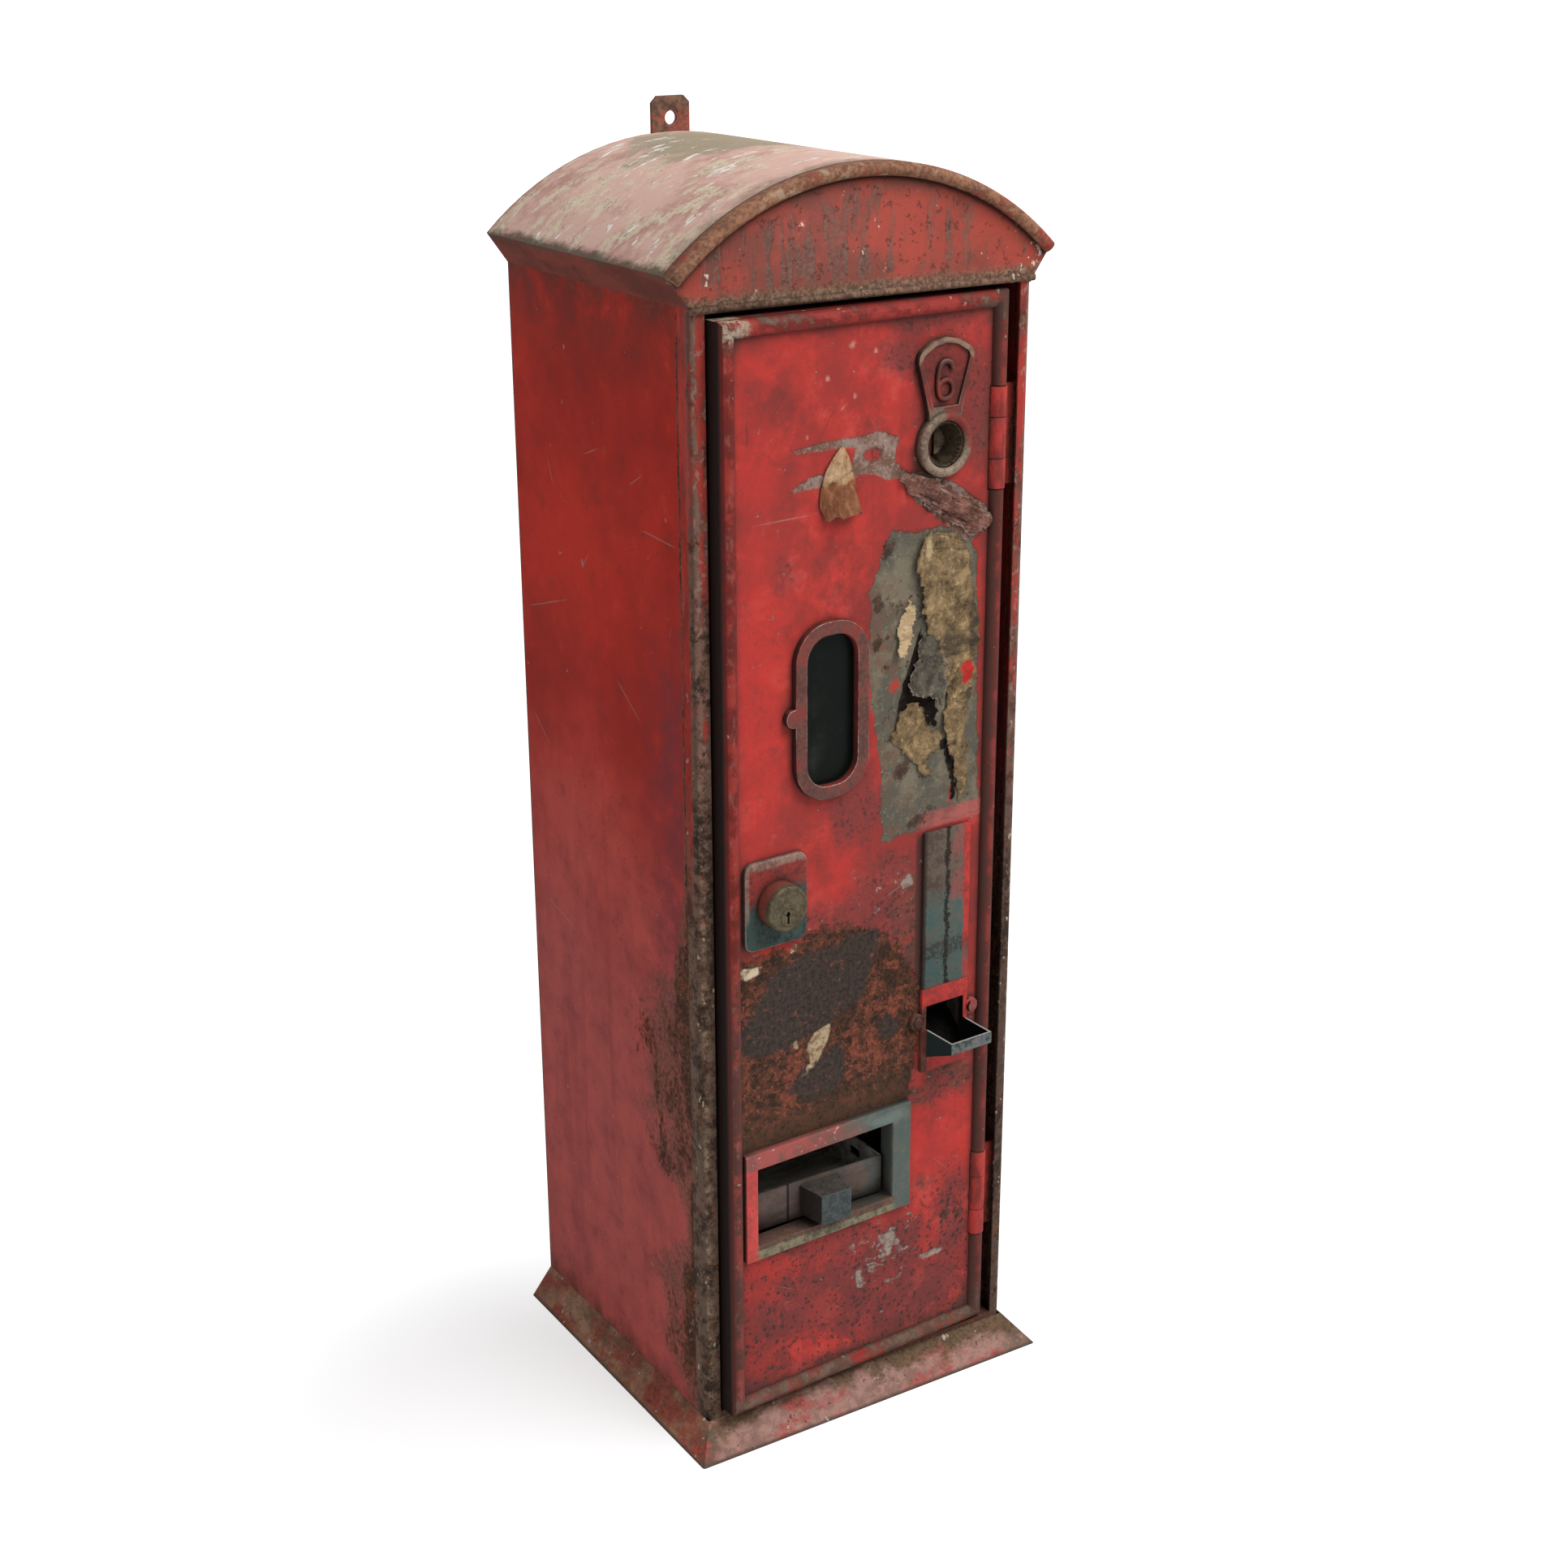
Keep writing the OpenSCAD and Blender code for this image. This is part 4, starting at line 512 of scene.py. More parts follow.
strap = Coat("strap_rust")
_, _, z = strap.axes()
grain = strap.noise(300, 4, 0.7)
colour = strap.layers(
    grain.tint((0.19, 0.10, 0.068), (0.09, 0.05, 0.036), 0.38, 0.62),
    (grain.tint((0.30, 0.085, 0.06), (0.18, 0.06, 0.045), 0.4, 0.62),
     (strap.noise(70, 5, 0.7) + z.step(0.80, 0.785) * 0.14).step(0.52, 0.62)),
    ((0.36, 0.29, 0.23), strap.edge(0.0015) * grain.step(0.45, 0.6) * 0.6))
dressed("hanging_strap", "cabinet", strap.done(colour, 0.7, grain), 0.0006)
dressed("strap_rivets", "cabinet", bare_steel, 0.0007, 3)


# Hinges: two knuckles of folded sheet on the cabinet, one on the door, a steel pin
# through each three. Painted over with the door, the paint rubbed off the rounds.

hinge = Coat("hinge_enamel")
wear = hinge.noise(90, 5, 0.7, (1, 1, 0.4))
grain = hinge.noise(380, 3)
bare = (wear * 0.8 + hinge.edge(0.002) * 0.18 + hinge.crevice(0.008) * 0.3 + grain * 0.2).step(0.62, 0.72)
colour = hinge.mix(wear.tint((0.40, 0.045, 0.038), (0.19, 0.032, 0.028), 0.4, 0.6), rust(hinge), bare)
hinge_paint = hinge.done(colour, 0.5 + bare * 0.3, grain - bare, 0.0003)
for level in ("upper", "lower"):
    dressed(f"{level}_fixed_leaf", "cabinet", hinge_paint, 0.0003)
    dressed(f"{level}_door_leaf", "door", hinge_paint, 0.0003)
dressed("hinge_pins", "cabinet", bare_steel, 0.0004)


# Door panel: the sheet that all the door's fittings bolt to, in bright red enamel.
# A label has torn off to grey metal, and below the lock the paint is eaten by rust.

DOOR_FACE = -0.106
HINGE = Vector((0.092, DOOR_FACE, 0))
AJAR = math.radians(3)
swung = Matrix.Translation(HINGE) @ Matrix.Rotation(AJAR, 4, "Z") @ Matrix.Translation(-HINGE)
shut = swung.inverted()


def door_coat(name):
    """A finish laid out on the door as if it were shut."""
    coat = Coat(name)
    coat.at = coat.lay(turn=(0, 0, -AJAR), move=tuple(shut.translation))
    return coat


def inside(points, outline):
    """How far points (x, z in mm) lie inside an outline; outside is negative."""
    ring = np.array(outline, float)
    depth = np.full(len(points), 1e9)
    within = np.zeros(len(points), bool)
    for (ax, az), (bx, bz) in zip(ring, np.roll(ring, -1, 0)):
        span = np.array((bx - ax, bz - az))
        rel = points - (ax, az)
        share = np.clip(rel @ span / max(span @ span, 1e-9), 0, 1)
        depth = np.minimum(depth, np.hypot(*(rel - share[:, None] * span).T))
        if bz != az:
            crosses = (az > points[:, 1]) != (bz > points[:, 1])
            within ^= crosses & (points[:, 0] < ax + (points[:, 1] - az) / (bz - az) * (bx - ax))
    return np.where(within, depth, -depth)


def within_oval(points, middle_x, middle_z, wide, high, turn):
    """The same for an oval: its middle and half sizes in mm, turned anticlockwise."""
    rel = points - (middle_x, middle_z)
    along = rel @ (math.cos(turn), math.sin(turn)) / wide
    up = rel @ (-math.sin(turn), math.cos(turn)) / high
    return (1 - np.hypot(along, up)) * min(wide, high)


# Where the sheet's colour changes, from wear, stains or painted shade: outlines (x, z in mm) and ovals (x, z, half
# sizes, turn).
OUTLINES = {
    "label_bare": [
        [(16, 572), (70, 568), (79, 550), (82, 470), (86, 386), (46, 385), (11, 381), (9, 433), (0, 485),
         (1, 542), (9, 560)]],
    "strip_bare": [
        [(-60, 627), (-32, 630), (9, 631), (20, 626), (18, 613), (29, 602), (12, 603), (3, 608),
         (-14, 608), (-14, 613), (-10, 624), (-32, 625)],
        [(-56, 604), (-36, 605), (-30, 611), (-38, 612), (-54, 607)],
        [(22, 606), (37, 604), (60, 595), (87, 577), (86, 564), (74, 557), (62, 565), (48, 577), (28, 592)]],
    "rust_patch": [
        [(-100, 330), (-58, 331), (-29, 336), (2, 331), (18, 323), (27, 308), (42, 280), (43, 250),
         (37, 225), (30, 200), (3, 200), (-39, 199), (-79, 197), (-100, 195)]],
    "scale_blotch": [
        [(-72, 317), (-31, 325), (12, 328), (8, 305), (0, 289), (-10, 279), (-40, 270), (-59, 264),
         (-90, 268), (-92, 284), (-80, 299)],
        [(-59, 236), (-47, 248), (-18, 260), (-14, 240), (-22, 230), (-40, 226)],
        [(16, 268), (26, 258), (20, 248), (10, 256)]],
    "cream_chip": [
        [(-92, 317), (-78, 319), (-75, 327), (-82, 324), (-92, 326)],
        [(-58, 327), (-52, 327), (-52, 332), (-58, 331)],
        [(-45, 262), (-39, 270), (-27, 273), (-29, 262), (-36, 250), (-52, 239), (-41, 252)],
        [(-58, 266), (-52, 270), (-50, 262)]],
    "grey_chip": [
        [(12, 112), (24, 113), (26, 106), (22, 96), (15, 90), (17, 102), (12, 107)],
        [(-13, 113), (-5, 114), (-7, 107)], [(-7, 94), (-1, 92), (0, 78), (-5, 80)],
        [(14, 80), (34, 79), (30, 75), (18, 75)], [(44, 86), (66, 86), (62, 82), (48, 82)],
        [(26, 100), (34, 98), (30, 92)], [(24, 352), (34, 358), (36, 350), (28, 347)]],
}
OVALS = {
    "bright": [
        (-78, 500, 18, 110, 0), (-78, 620, 16, 40, 0), (60, 170, 30, 40, 0), (-80, 420, 14, 40, 0),
        (52, 350, 14, 40, 0), (-20, 372, 12, 22, 0)],
    "smudge": [
        # The first two smudges, left of the coin shield and of its ring, are painted shadow; the rest are dirt.
        (34, 655, 8, 26, -0.1), (34, 612, 8, 18, 0), (55, 692, 44, 12, 0), (20, 672, 26, 12, -0.3),
        (-6, 406, 22, 24, -0.2), (12, 352, 34, 22, 0.3), (-30, 345, 30, 9, 0), (2, 300, 50, 60, 0),
        (78, 640, 14, 40, 0), (-60, 560, 12, 9, -0.6), (-30, 556, 9, 6, 0), (60, 205, 26, 14, 0),
        (-20, 120, 46, 16, -0.1), (-40, 84, 48, 24, 0), (30, 60, 60, 22, 0), (72, 110, 14, 34, 0),
        (-94, 330, 10, 60, 0), (20, 98, 34, 22, 0.2), (-66, 79, 13, 11, 0)],
    "rust_spot": [
        (31, 318, 15, 38, 0), (58, 222, 24, 10, 0.2), (76, 212, 12, 16, 0), (46, 202, 12, 12, 0),
        (85, 619, 8, 11, 0), (48, 138, 6, 5, 0)],
    # Small dents and torn holes, coloured dark as the shade in them: painted shade.
    "shaded_hollow": [
        (5, 530, 3.5, 5, -0.4), (24, 424, 7, 3, 0.6), (12, 492, 3, 4, 0), (11, 449, 3, 4, 0),
        (13, 560, 3, 5, -0.4), (35, 389, 8, 2.5, 0.4), (74, 116, 2.5, 4, -0.4), (78, 110, 2.5, 5, -0.2),
        (66, 110, 3, 4, 0), (5, 506, 3, 4, 0), (22, 523, 3, 4, 0), (68, 529, 4, 3, 0)],
}
# The front is cut into small squares, so that its corners can carry the depths.
GRID_X = range(-100, 97, 4)
GRID_Z = (*range(28, 702, 4), *range(602, 632, 4))
door_skin = copied("door_panel", "door_skin", True)
panel = door_skin.data
for face in panel.polygons:
    face.select = face.normal.y < -0.9
bpy.ops.object.mode_set(mode="EDIT")
bpy.ops.mesh.hide(unselected=True)
across, upward = swung.to_3x3() @ Vector((1, 0, 0)), Vector((0, 0, 1))
cuts = [(swung @ Vector((px / 1000, 0, 0)), across) for px in GRID_X]
cuts += [(Vector((0, 0, pz / 1000)), upward) for pz in GRID_Z]
for point, normal in cuts:
    bpy.ops.mesh.select_all(action="SELECT")
    bpy.ops.mesh.bisect(plane_co=point, plane_no=normal)
bpy.ops.mesh.reveal()
bpy.ops.object.mode_set(mode="OBJECT")
places = np.array([shut @ v.co for v in panel.vertices])[:, (0, 2)] * 1000
depths = {mark: [inside(places, line) for line in lines] for mark, lines in OUTLINES.items()}
depths |= {mark: [within_oval(places, *oval) for oval in ovals] for mark, ovals in OVALS.items()}
for mark, layers in depths.items():
    panel.attributes.new(mark, "FLOAT", "POINT").data.foreach_set(
        "value", np.clip(np.max(layers, axis=0), -40, 40).astype(np.float32))

door = door_coat("door_enamel")
x, _, z = door.axes()
_, ny, _ = door.facing()
broad = door.noise(9, 4, 0.6)
patchy = door.noise(30, 6, 0.7)
grain = door.noise(340, 4, 0.7)
bloom = door.noise(130, 7, 0.8)
ragged = (door.noise(55, 7, 0.74) - 0.5) * 30 + (grain - 0.5) * 8


def marked(name, low, high, wander):
    """Share of a worn place between two depths in mm, with a ragged border."""
    depth = door.node("ShaderNodeAttribute", {"attribute_name": name}, out="Fac")
    return (depth + ragged * wander).step(low, high)


def scored(rag, soft, *table):
    """Small scratches and flecks as one mask: x, z, half width, half height in mm, and a turn."""
    return reduce(or_, [
        door.blot((px / 1000, DOOR_FACE, pz / 1000), (wide / 1000, 1, high / 1000), bloom, rag, soft, (0, turn, 0))
        for px, pz, wide, high, turn in table])


smudgy = door.noise(17, 6, 0.7, at=door.lay(move=(0.5, 0, 0)))
drips = door.noise(75, 4, 0.6, (1, 1, 0.05))
# Dirt smudges, and painted shadow at the left of the coin shield and its ring.
smudged_and_shaded = marked("smudge", -4, 9, 1.3)
cover_shade = abs(x - 0.0398).step(0.0035, 0.0012) * abs(z - 0.327).step(0.057, 0.05)
mottled = (door.noise(62, 6, 0.75) + z.step(0.15, 0.09) * 0.05).step(0.53, 0.62)
# Dirt and painted shade: darker in corners round the fittings and along the panel's edges by the bead, the foot
# and the gable lip.
grime_and_shade = (door.crevice(0.02) * 1.1 + x.step(-0.086, -0.097) * 0.5 + z.step(0.055, 0.034) * 0.7
         + x.step(0.074, 0.088) * 0.4 + z.step(0.675, 0.692) * 0.35)
pocks = (patchy * 0.5 + z.step(0.2, 0.06) * 0.4 + smudged_and_shaded * 0.25).step(0.24, 0.6)
specks = door.noise(400, 2).step(0.62, 0.67) * pocks
dots = door.cells(170).step(0.3, 0.17) * door.noise(20, 3).step(0.44, 0.57) * pocks
chipped = (door.noise(110, 4, 0.72, (1, 1, 1.5))
           + abs(x - 0.01).step(0.06, 0.01) * abs(z - 0.348).step(0.035, 0.01) * 0.07
           + abs(x - 0.015).step(0.045, 0.01) * abs(z - 0.098).step(0.04, 0.01) * 0.12).step(0.675, 0.70)
lines = scored(1.8, 0.9, (-58, 590, 28, 0.8, -0.02), (56, 344, 14, 0.7, 0.1), (20, 348, 10, 0.8, -0.4),
               (-46, 470, 0.5, 18, 0.1), (60, 150, 12, 0.5, 0.8), (-60, 100, 14, 0.5, 0.5))
creases = scored(1.4, 1.0, (-30, 640, 24, 0.8, -1.0), (-62, 655, 16, 0.7, -0.9), (-84, 640, 1.2, 14, 0))
flecks = scored(3.2, 1.0, (-13, 682, 2.6, 3, 0.4), (3, 677, 1.8, 2.2, 0), (-12, 667, 1.8, 1.4, 0),
                (-30, 665, 2, 2, 0), (-11, 653, 1.6, 2.4, 0), (-19, 648, 3.4, 1.2, -0.6),
                (-44, 634, 1.2, 1.6, 0))
paint = door.layers(
    (broad * 0.5 + patchy * 0.5).tint((0.47, 0.040, 0.032), (0.27, 0.034, 0.029), 0.40, 0.58),
    ((0.47, 0.085, 0.072), patchy.step(0.46, 0.34) * 0.4),
    ((0.15, 0.03, 0.028), smudgy.step(0.54, 0.66) * 0.6),
    ((0.2, 0.028, 0.025), drips.step(0.54, 0.7) * 0.35),
    (grain.tint((0.54, 0.038, 0.032), (0.46, 0.036, 0.03), 0.4, 0.6), marked("bright", -6, 12, 1.2) * 0.5),
    (grain.tint((0.16, 0.042, 0.04), (0.09, 0.04, 0.036), 0.42, 0.6), smudged_and_shaded * 0.58),
    (bloom.tint((0.19, 0.055, 0.038), (0.085, 0.042, 0.031), 0.44, 0.56),
     marked("rust_spot", -4, 5, 1.1) * (0.4 + bloom.step(0.42, 0.56) * 0.5)),
    ((0.05, 0.028, 0.023), cover_shade * 0.85),
    ((0.14, 0.034, 0.031), mottled * (0.3 + z.step(0.16, 0.1) * 0.4)),
    ((0.075, 0.035, 0.03), (grime_and_shade * (0.4 + patchy * 1.2)).step(0.12, 1.0) * 0.9),
    ((0.065, 0.033, 0.03), specks | dots),
    (grain.tint((0.32, 0.27, 0.225), (0.17, 0.115, 0.095)), chipped * 0.8),
    ((0.42, 0.17, 0.14), lines * 0.5),
    ((0.13, 0.028, 0.025), creases * 0.6),
    ((0.46, 0.25, 0.21), flecks * 0.75))

bare_grey = door.layers(
    patchy.tint((0.165, 0.14, 0.098), (0.095, 0.086, 0.066)),
    ((0.23, 0.205, 0.155), grain.step(0.54, 0.66) * 0.6),
    ((0.15, 0.075, 0.052), (smudgy * 0.5 + bloom * 0.5 + x.step(0.03, 0.0) * 0.02).step(0.52, 0.6) * 0.75),
    ((0.06, 0.036, 0.026), door.noise(95, 5, 0.74).step(0.60, 0.66)))
label = marked("label_bare", -0.7, 0.7, 0.42)
strip = marked("strip_bare", -0.7, 0.7, 0.24)
bruise = scored(1.0, 0.5, (1, 618.5, 9.5, 5.5, 0.1))
strip_tone = door.layers(
    (patchy * 0.4 + bloom * 0.6).tint((0.26, 0.18, 0.15), (0.15, 0.078, 0.056), 0.43, 0.54),
    ((0.36, 0.31, 0.26), grain.step(0.56, 0.64) * 0.6),
    ((0.085, 0.035, 0.03), bruise))
reds = scored(2.0, 0.6, (19, 479, 5.5, 3.5, -0.4), (63, 402, 2.5, 6, 0))
band = (abs(z - 0.3885 - (x - 0.065) * 0.03 + (bloom - 0.5) * 0.004).step(0.0062, 0.0045)
        * x.step(0.034, 0.044))

embers = door.noise(240, 6, 0.8)
glowing = (embers * 0.65 + bloom * 0.4 + door.noise(46, 4, 0.65) * 0.3).step(0.675, 0.72)
blotch = marked("scale_blotch", -2.0, 2.0, 0.7)
dark = door.layers(
    grain.tint((0.060, 0.043, 0.036), (0.032, 0.024, 0.02), 0.42, 0.62),
    ((0.12, 0.06, 0.045), door.noise(260, 3, 0.7).step(0.62, 0.66)))
scale = door.layers(
    (grain * 0.5 + bloom * 0.5).tint((0.032, 0.02, 0.015), (0.1, 0.043, 0.025), 0.43, 0.58),
    (grain.tint((0.25, 0.07, 0.042), (0.135, 0.046, 0.031)),
     glowing * (1 - z.step(0.226, 0.206) * 0.8)),
    ((0.075, 0.042, 0.026), z.step(0.236, 0.208) * grain.step(0.35, 0.55) * 0.8),
    (dark, blotch * bloom.step(0.66, 0.58)))
halo = marked("rust_patch", -8.0, 8.0, 1.3) * (grain * 0.5 + bloom * 0.5).step(0.5, 0.56)
survivors = (bloom * 0.6 + patchy * 0.4 + x.step(0.0, 0.04) * 0.03).step(0.615, 0.635)
eaten = marked("rust_patch", -1.4, 1.4, 0.95) * (1 - survivors * (1 - blotch) * 0.85)
cream = marked("cream_chip", -0.7, 0.7, 0.2)
flake_tone = z.tint((0.5, 0.385, 0.24), (0.76, 0.62, 0.43), 0.29, 0.31)
nicked = marked("grey_chip", -0.8, 0.8, 0.28)
# Dents and torn holes darkened: painted shade.
shaded_hollow = marked("shaded_hollow", -1.2, 1.2, 0.75)
colour = door.layers(
    paint,
    (bare_grey, label),
    (strip_tone, strip),
    ((0.34, 0.042, 0.036), bruise.step(0.6, 1.0) * bloom.step(0.62, 0.46)),
    ((0.40, 0.04, 0.034), reds * 0.85),
    (patchy.tint((0.38, 0.10, 0.09), (0.22, 0.07, 0.06), 0.4, 0.6), band * 0.9),
    (bloom.tint((0.13, 0.045, 0.035), (0.06, 0.034, 0.028), 0.45, 0.55), halo * 0.85),
    (scale, eaten),
    ((embers * 0.5 + bloom * 0.5).tint(flake_tone, (0.19, 0.115, 0.068), 0.47, 0.58), cream * 0.9),
    (bloom.tint((0.32, 0.27, 0.23), (0.2, 0.13, 0.11), 0.46, 0.56), nicked * 0.9),
    (bloom.tint((0.085, 0.043, 0.03), (0.035, 0.022, 0.017), 0.44, 0.56), shaded_hollow * 0.9),
    # Near black on the panel's side edges: painted shade.
    ((0.008, 0.006, 0.005), abs(ny).step(0.6, 0.3)))
lost = label | strip | eaten | nicked
height = (broad * 1.8 + patchy * 0.5 + grain * 0.3 - specks * 0.6 - dots * 0.6 - chipped * 0.5 - lost * 0.9
          + eaten * (bloom * 2.0 + grain * 1.0) + cream * 1.4 - shaded_hollow * 0.6 - lines * 0.4)
covered(door_skin, door.done(colour, 0.42 + lost * 0.36 + grime_and_shade * 0.15 + smudged_and_shaded * 0.1, height, 0.0006))
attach(door_skin, "door")
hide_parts("door_panel")


# Stiffening bars and bead: folded strips welded behind the door's edge, and a
# half-round moulding soldered round its front, mitred at the corners.

bead = door_coat("bead_enamel")
x, y, z = bead.axes()
nx, _, _ = bead.facing()
wear = bead.noise(48, 6, 0.72)
grain = bead.noise(380, 3, 0.7)
free_side = x.step(-0.09, -0.094)
bare = bead.noise(120, 5, 0.7).tint((0.105, 0.058, 0.041), (0.145, 0.095, 0.07), 0.42, 0.6)
share = (wear * 0.8 + z.step(0.06, 0.03) * 0.2 + x.step(0.05, 0.09) * 0.05 + z.step(0.67, 0.69) * 0.08
         + grain * 0.2).step(0.6, 0.72)
crest = nx.step(-0.6, -0.35) * nx.step(0.25, 0.0) * free_side
hinge_side = x.step(0.085, 0.088) * (0.5 + wear * 0.7) * (1 - y.step(-0.1105, -0.111) * 0.6)
nick = x.frayed(wear, 0.02).step(-0.084, -0.091) * z.frayed(wear, 0.01).step(0.689, 0.694)
nick = nick * bead.noise(170, 5, 0.7).step(0.4, 0.52) * nx.step(-0.75, -0.5)
colour = bead.layers(
    wear.tint((0.23, 0.025, 0.02), (0.12, 0.018, 0.015), 0.4, 0.6),
    ((0.075, 0.035, 0.028), free_side * z.frayed(wear, 0.12).step(0.36, 0.29) * (0.55 + wear * 0.6)),
    # A lighter red along the front of the bead, broken by wear: painted highlight.
    ((0.31, 0.047, 0.039), y.step(-0.1095, -0.111) * wear.step(0.52, 0.42) * 0.5),
    (bare, share),
    # Dark in corners and seams: painted shade.
    ((0.03, 0.018, 0.015), bead.crevice(0.012) * 0.85),
    # The left flank darker: painted shade.
    ((0.075, 0.013, 0.011), nx.step(-0.4, -0.8) * 0.7),
    ((0.27, 0.11, 0.09), crest * bead.noise(160, 5, 0.72, (1, 1, 0.6)).step(0.52, 0.64) * 0.4),
    # The door's left edge side near black: painted shadow in the gap by the stile.
    ((0.011, 0.008, 0.007), nx.step(-0.86, -0.985) * x.step(-0.095, -0.099) * 0.95),
    # Faces towards the hinge dark: painted shade.
    ((0.035, 0.02, 0.017), nx.step(0.6, 0.9) * 0.8),
    ((0.062, 0.03, 0.024), hinge_side * 0.95),
    (grain.tint((0.36, 0.29, 0.215), (0.17, 0.12, 0.085), 0.48, 0.62), nick * 0.9),
    ((0.34, 0.26, 0.22), bead.noise(200, 2).step(0.70, 0.73) * nx.step(-0.8, -0.6) * 0.6))
bead_paint = bead.done(colour, 0.46 + share * 0.25, grain * 0.6 + wear)
dressed("door_bead", "door", bead_paint, 0.0002, 1, 24)
cad_finish("door_bars", bead_paint)


# Torn label: layers of old printed paper and paint skin, still glued in the middle
# of the bare patch. Their edges have come up and curl off the door.

FROM_MM = Matrix.Diagonal((0.001, 0.001, 0.001, 1))
PAPER_THICK, SCROLL_THICK = 0.0003, 0.0004


def settle(piece, material, thick, offset, smooth):
    """Turns a piece made in mm on the shut door into a sheet on the door as it stands."""
    piece.data.transform(swung @ Matrix.Translation((0, DOOR_FACE, 0)) @ FROM_MM)
    if sum(face.normal.y * face.area for face in piece.data.polygons) > 0:
        piece.data.flip_normals()
    sheet = piece.modifiers.new("thickness", "SOLIDIFY")
    sheet.thickness, sheet.offset = thick, offset
    bpy.ops.object.modifier_apply(modifier="thickness")
    bpy.ops.object.shade_smooth_by_angle(angle=math.radians(smooth))
    covered(piece, material)
    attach(piece, "door")


def paper(name, material, seed, lift, outline):
    """A torn piece with a ragged outline (x, z in mm on the shut door); lift gives its height in mm."""
    bpy.ops.object.select_all(action="DESELECT")
    bpy.ops.mesh.primitive_circle_add(vertices=len(outline), fill_type="NGON")
    piece = bpy.context.object
    piece.name = name
    for corner, (px, pz) in zip(piece.data.vertices, outline):
        corner.co = (px, 0, pz)
    bpy.ops.object.mode_set(mode="EDIT")
    bpy.ops.mesh.select_all(action="SELECT")
    bpy.ops.mesh.subdivide(number_cuts=7)
    bpy.ops.object.mode_set(mode="OBJECT")
    noise.seed_set(seed)
    for v in piece.data.vertices:
        rag = noise.noise_vector(Vector((v.co.x * 0.3, 0, v.co.z * 0.3))) * 2.6
        fray = noise.noise_vector(Vector((v.co.x * 0.9, 7, v.co.z * 0.9))) * 1.5
        v.co.x, v.co.z = v.co.x + rag.x + fray.x, v.co.z + rag.z + fray.z
    torn = [(piece.data.vertices[i].co.x, piece.data.vertices[i].co.z) for i in piece.data.polygons[0].vertices]
    bpy.ops.object.mode_set(mode="EDIT")
    bpy.ops.mesh.select_all(action="SELECT")
    bpy.ops.mesh.quads_convert_to_tris(ngon_method="BEAUTY")
    bpy.ops.mesh.subdivide(number_cuts=2)
    bpy.ops.mesh.subdivide(number_cuts=1)
    bpy.ops.object.mode_set(mode="OBJECT")
    rim_depth = inside(np.array([(v.co.x, v.co.z) for v in piece.data.vertices]), torn)
    piece.data.attributes.new("rim", "FLOAT", "POINT").data.foreach_set(
        "value", np.abs(rim_depth).astype(np.float32))
    for v in piece.data.vertices:
        crumple = noise.fractal(Vector((v.co.x * 0.13, seed, v.co.z * 0.13)), 0.7, 2.0, 5) * 1.5
        v.co.y = -max(0.15, lift(v.co.x, v.co.z) + crumple)
    settle(piece, material, PAPER_THICK, 1, 40)


def paper_coat(name, light, dark, stain, share, torn):
    """An unfinished paper: its coat, tone and relief."""
    coat = door_coat(name)
    pulp = coat.noise(55, 7, 0.74)
    fibre = coat.noise(480, 3, stretch=(1, 1, 0.4))
    crust = coat.noise(150, 6, 0.78)
    rim_depth = coat.node("ShaderNodeAttribute", {"attribute_name": "rim"}, out="Fac")
    tone = coat.layers(
        (pulp * 0.5 + crust * 0.5).tint(light, dark, 0.44, 0.55),
        (tuple(min(1, c * 1.6) for c in light), crust.step(0.43, 0.36) * 0.7),
        (stain, (pulp * 0.5 + crust * 0.5).step(*share)),
        (tuple(c * 0.35 for c in dark), fibre.step(0.58, 0.7) * 0.5),
        (torn, rim_depth.frayed(crust, 9).step(1.0, 0.2) * 0.6))
    return coat, tone, fibre + crust * 3.5 + pulp * 2


PAPER_FACE = -0.107
tan, tone, height = paper_coat("tan_paper", (0.31, 0.212, 0.11), (0.16, 0.107, 0.056), (0.065, 0.045, 0.028),
                               (0.55, 0.59), (0.13, 0.092, 0.054))
ruffle = tan.noise(120, 6, 0.75)
# Darker blots on the tan paper.
dark_blots = reduce(or_, [
    tan.blot((px, PAPER_FACE, pz), (wide, 1, high), ruffle, 2.2, soft) for px, pz, wide, high, soft in (
        (0.06, 0.497, 0.016, 0.016, 0.9), (0.077, 0.505, 0.006, 0.034, 0.9), (0.075, 0.464, 0.006, 0.007, 0.6))])
tone = tan.layers(
    tone,
    ((0.05, 0.038, 0.029), dark_blots * 0.8),
    ((0.45, 0.34, 0.19), tan.blot((0.042, PAPER_FACE, 0.558), (0.004, 1, 0.008), ruffle, 1.5)),
    ((0.47, 0.032, 0.027), tan.blot((0.073, PAPER_FACE, 0.4785), (0.0055, 1, 0.0095), ruffle, 1.8, 0.4)))
tan_paper = tan.done(tone, 0.9, height, 0.0005)
grey, tone, height = paper_coat("grey_paper", (0.115, 0.098, 0.075), (0.055, 0.047, 0.038), (0.025, 0.02, 0.017),
                                (0.55, 0.62), (0.26, 0.21, 0.145))
grey_paper = grey.done(tone, 0.9, height, 0.0005)
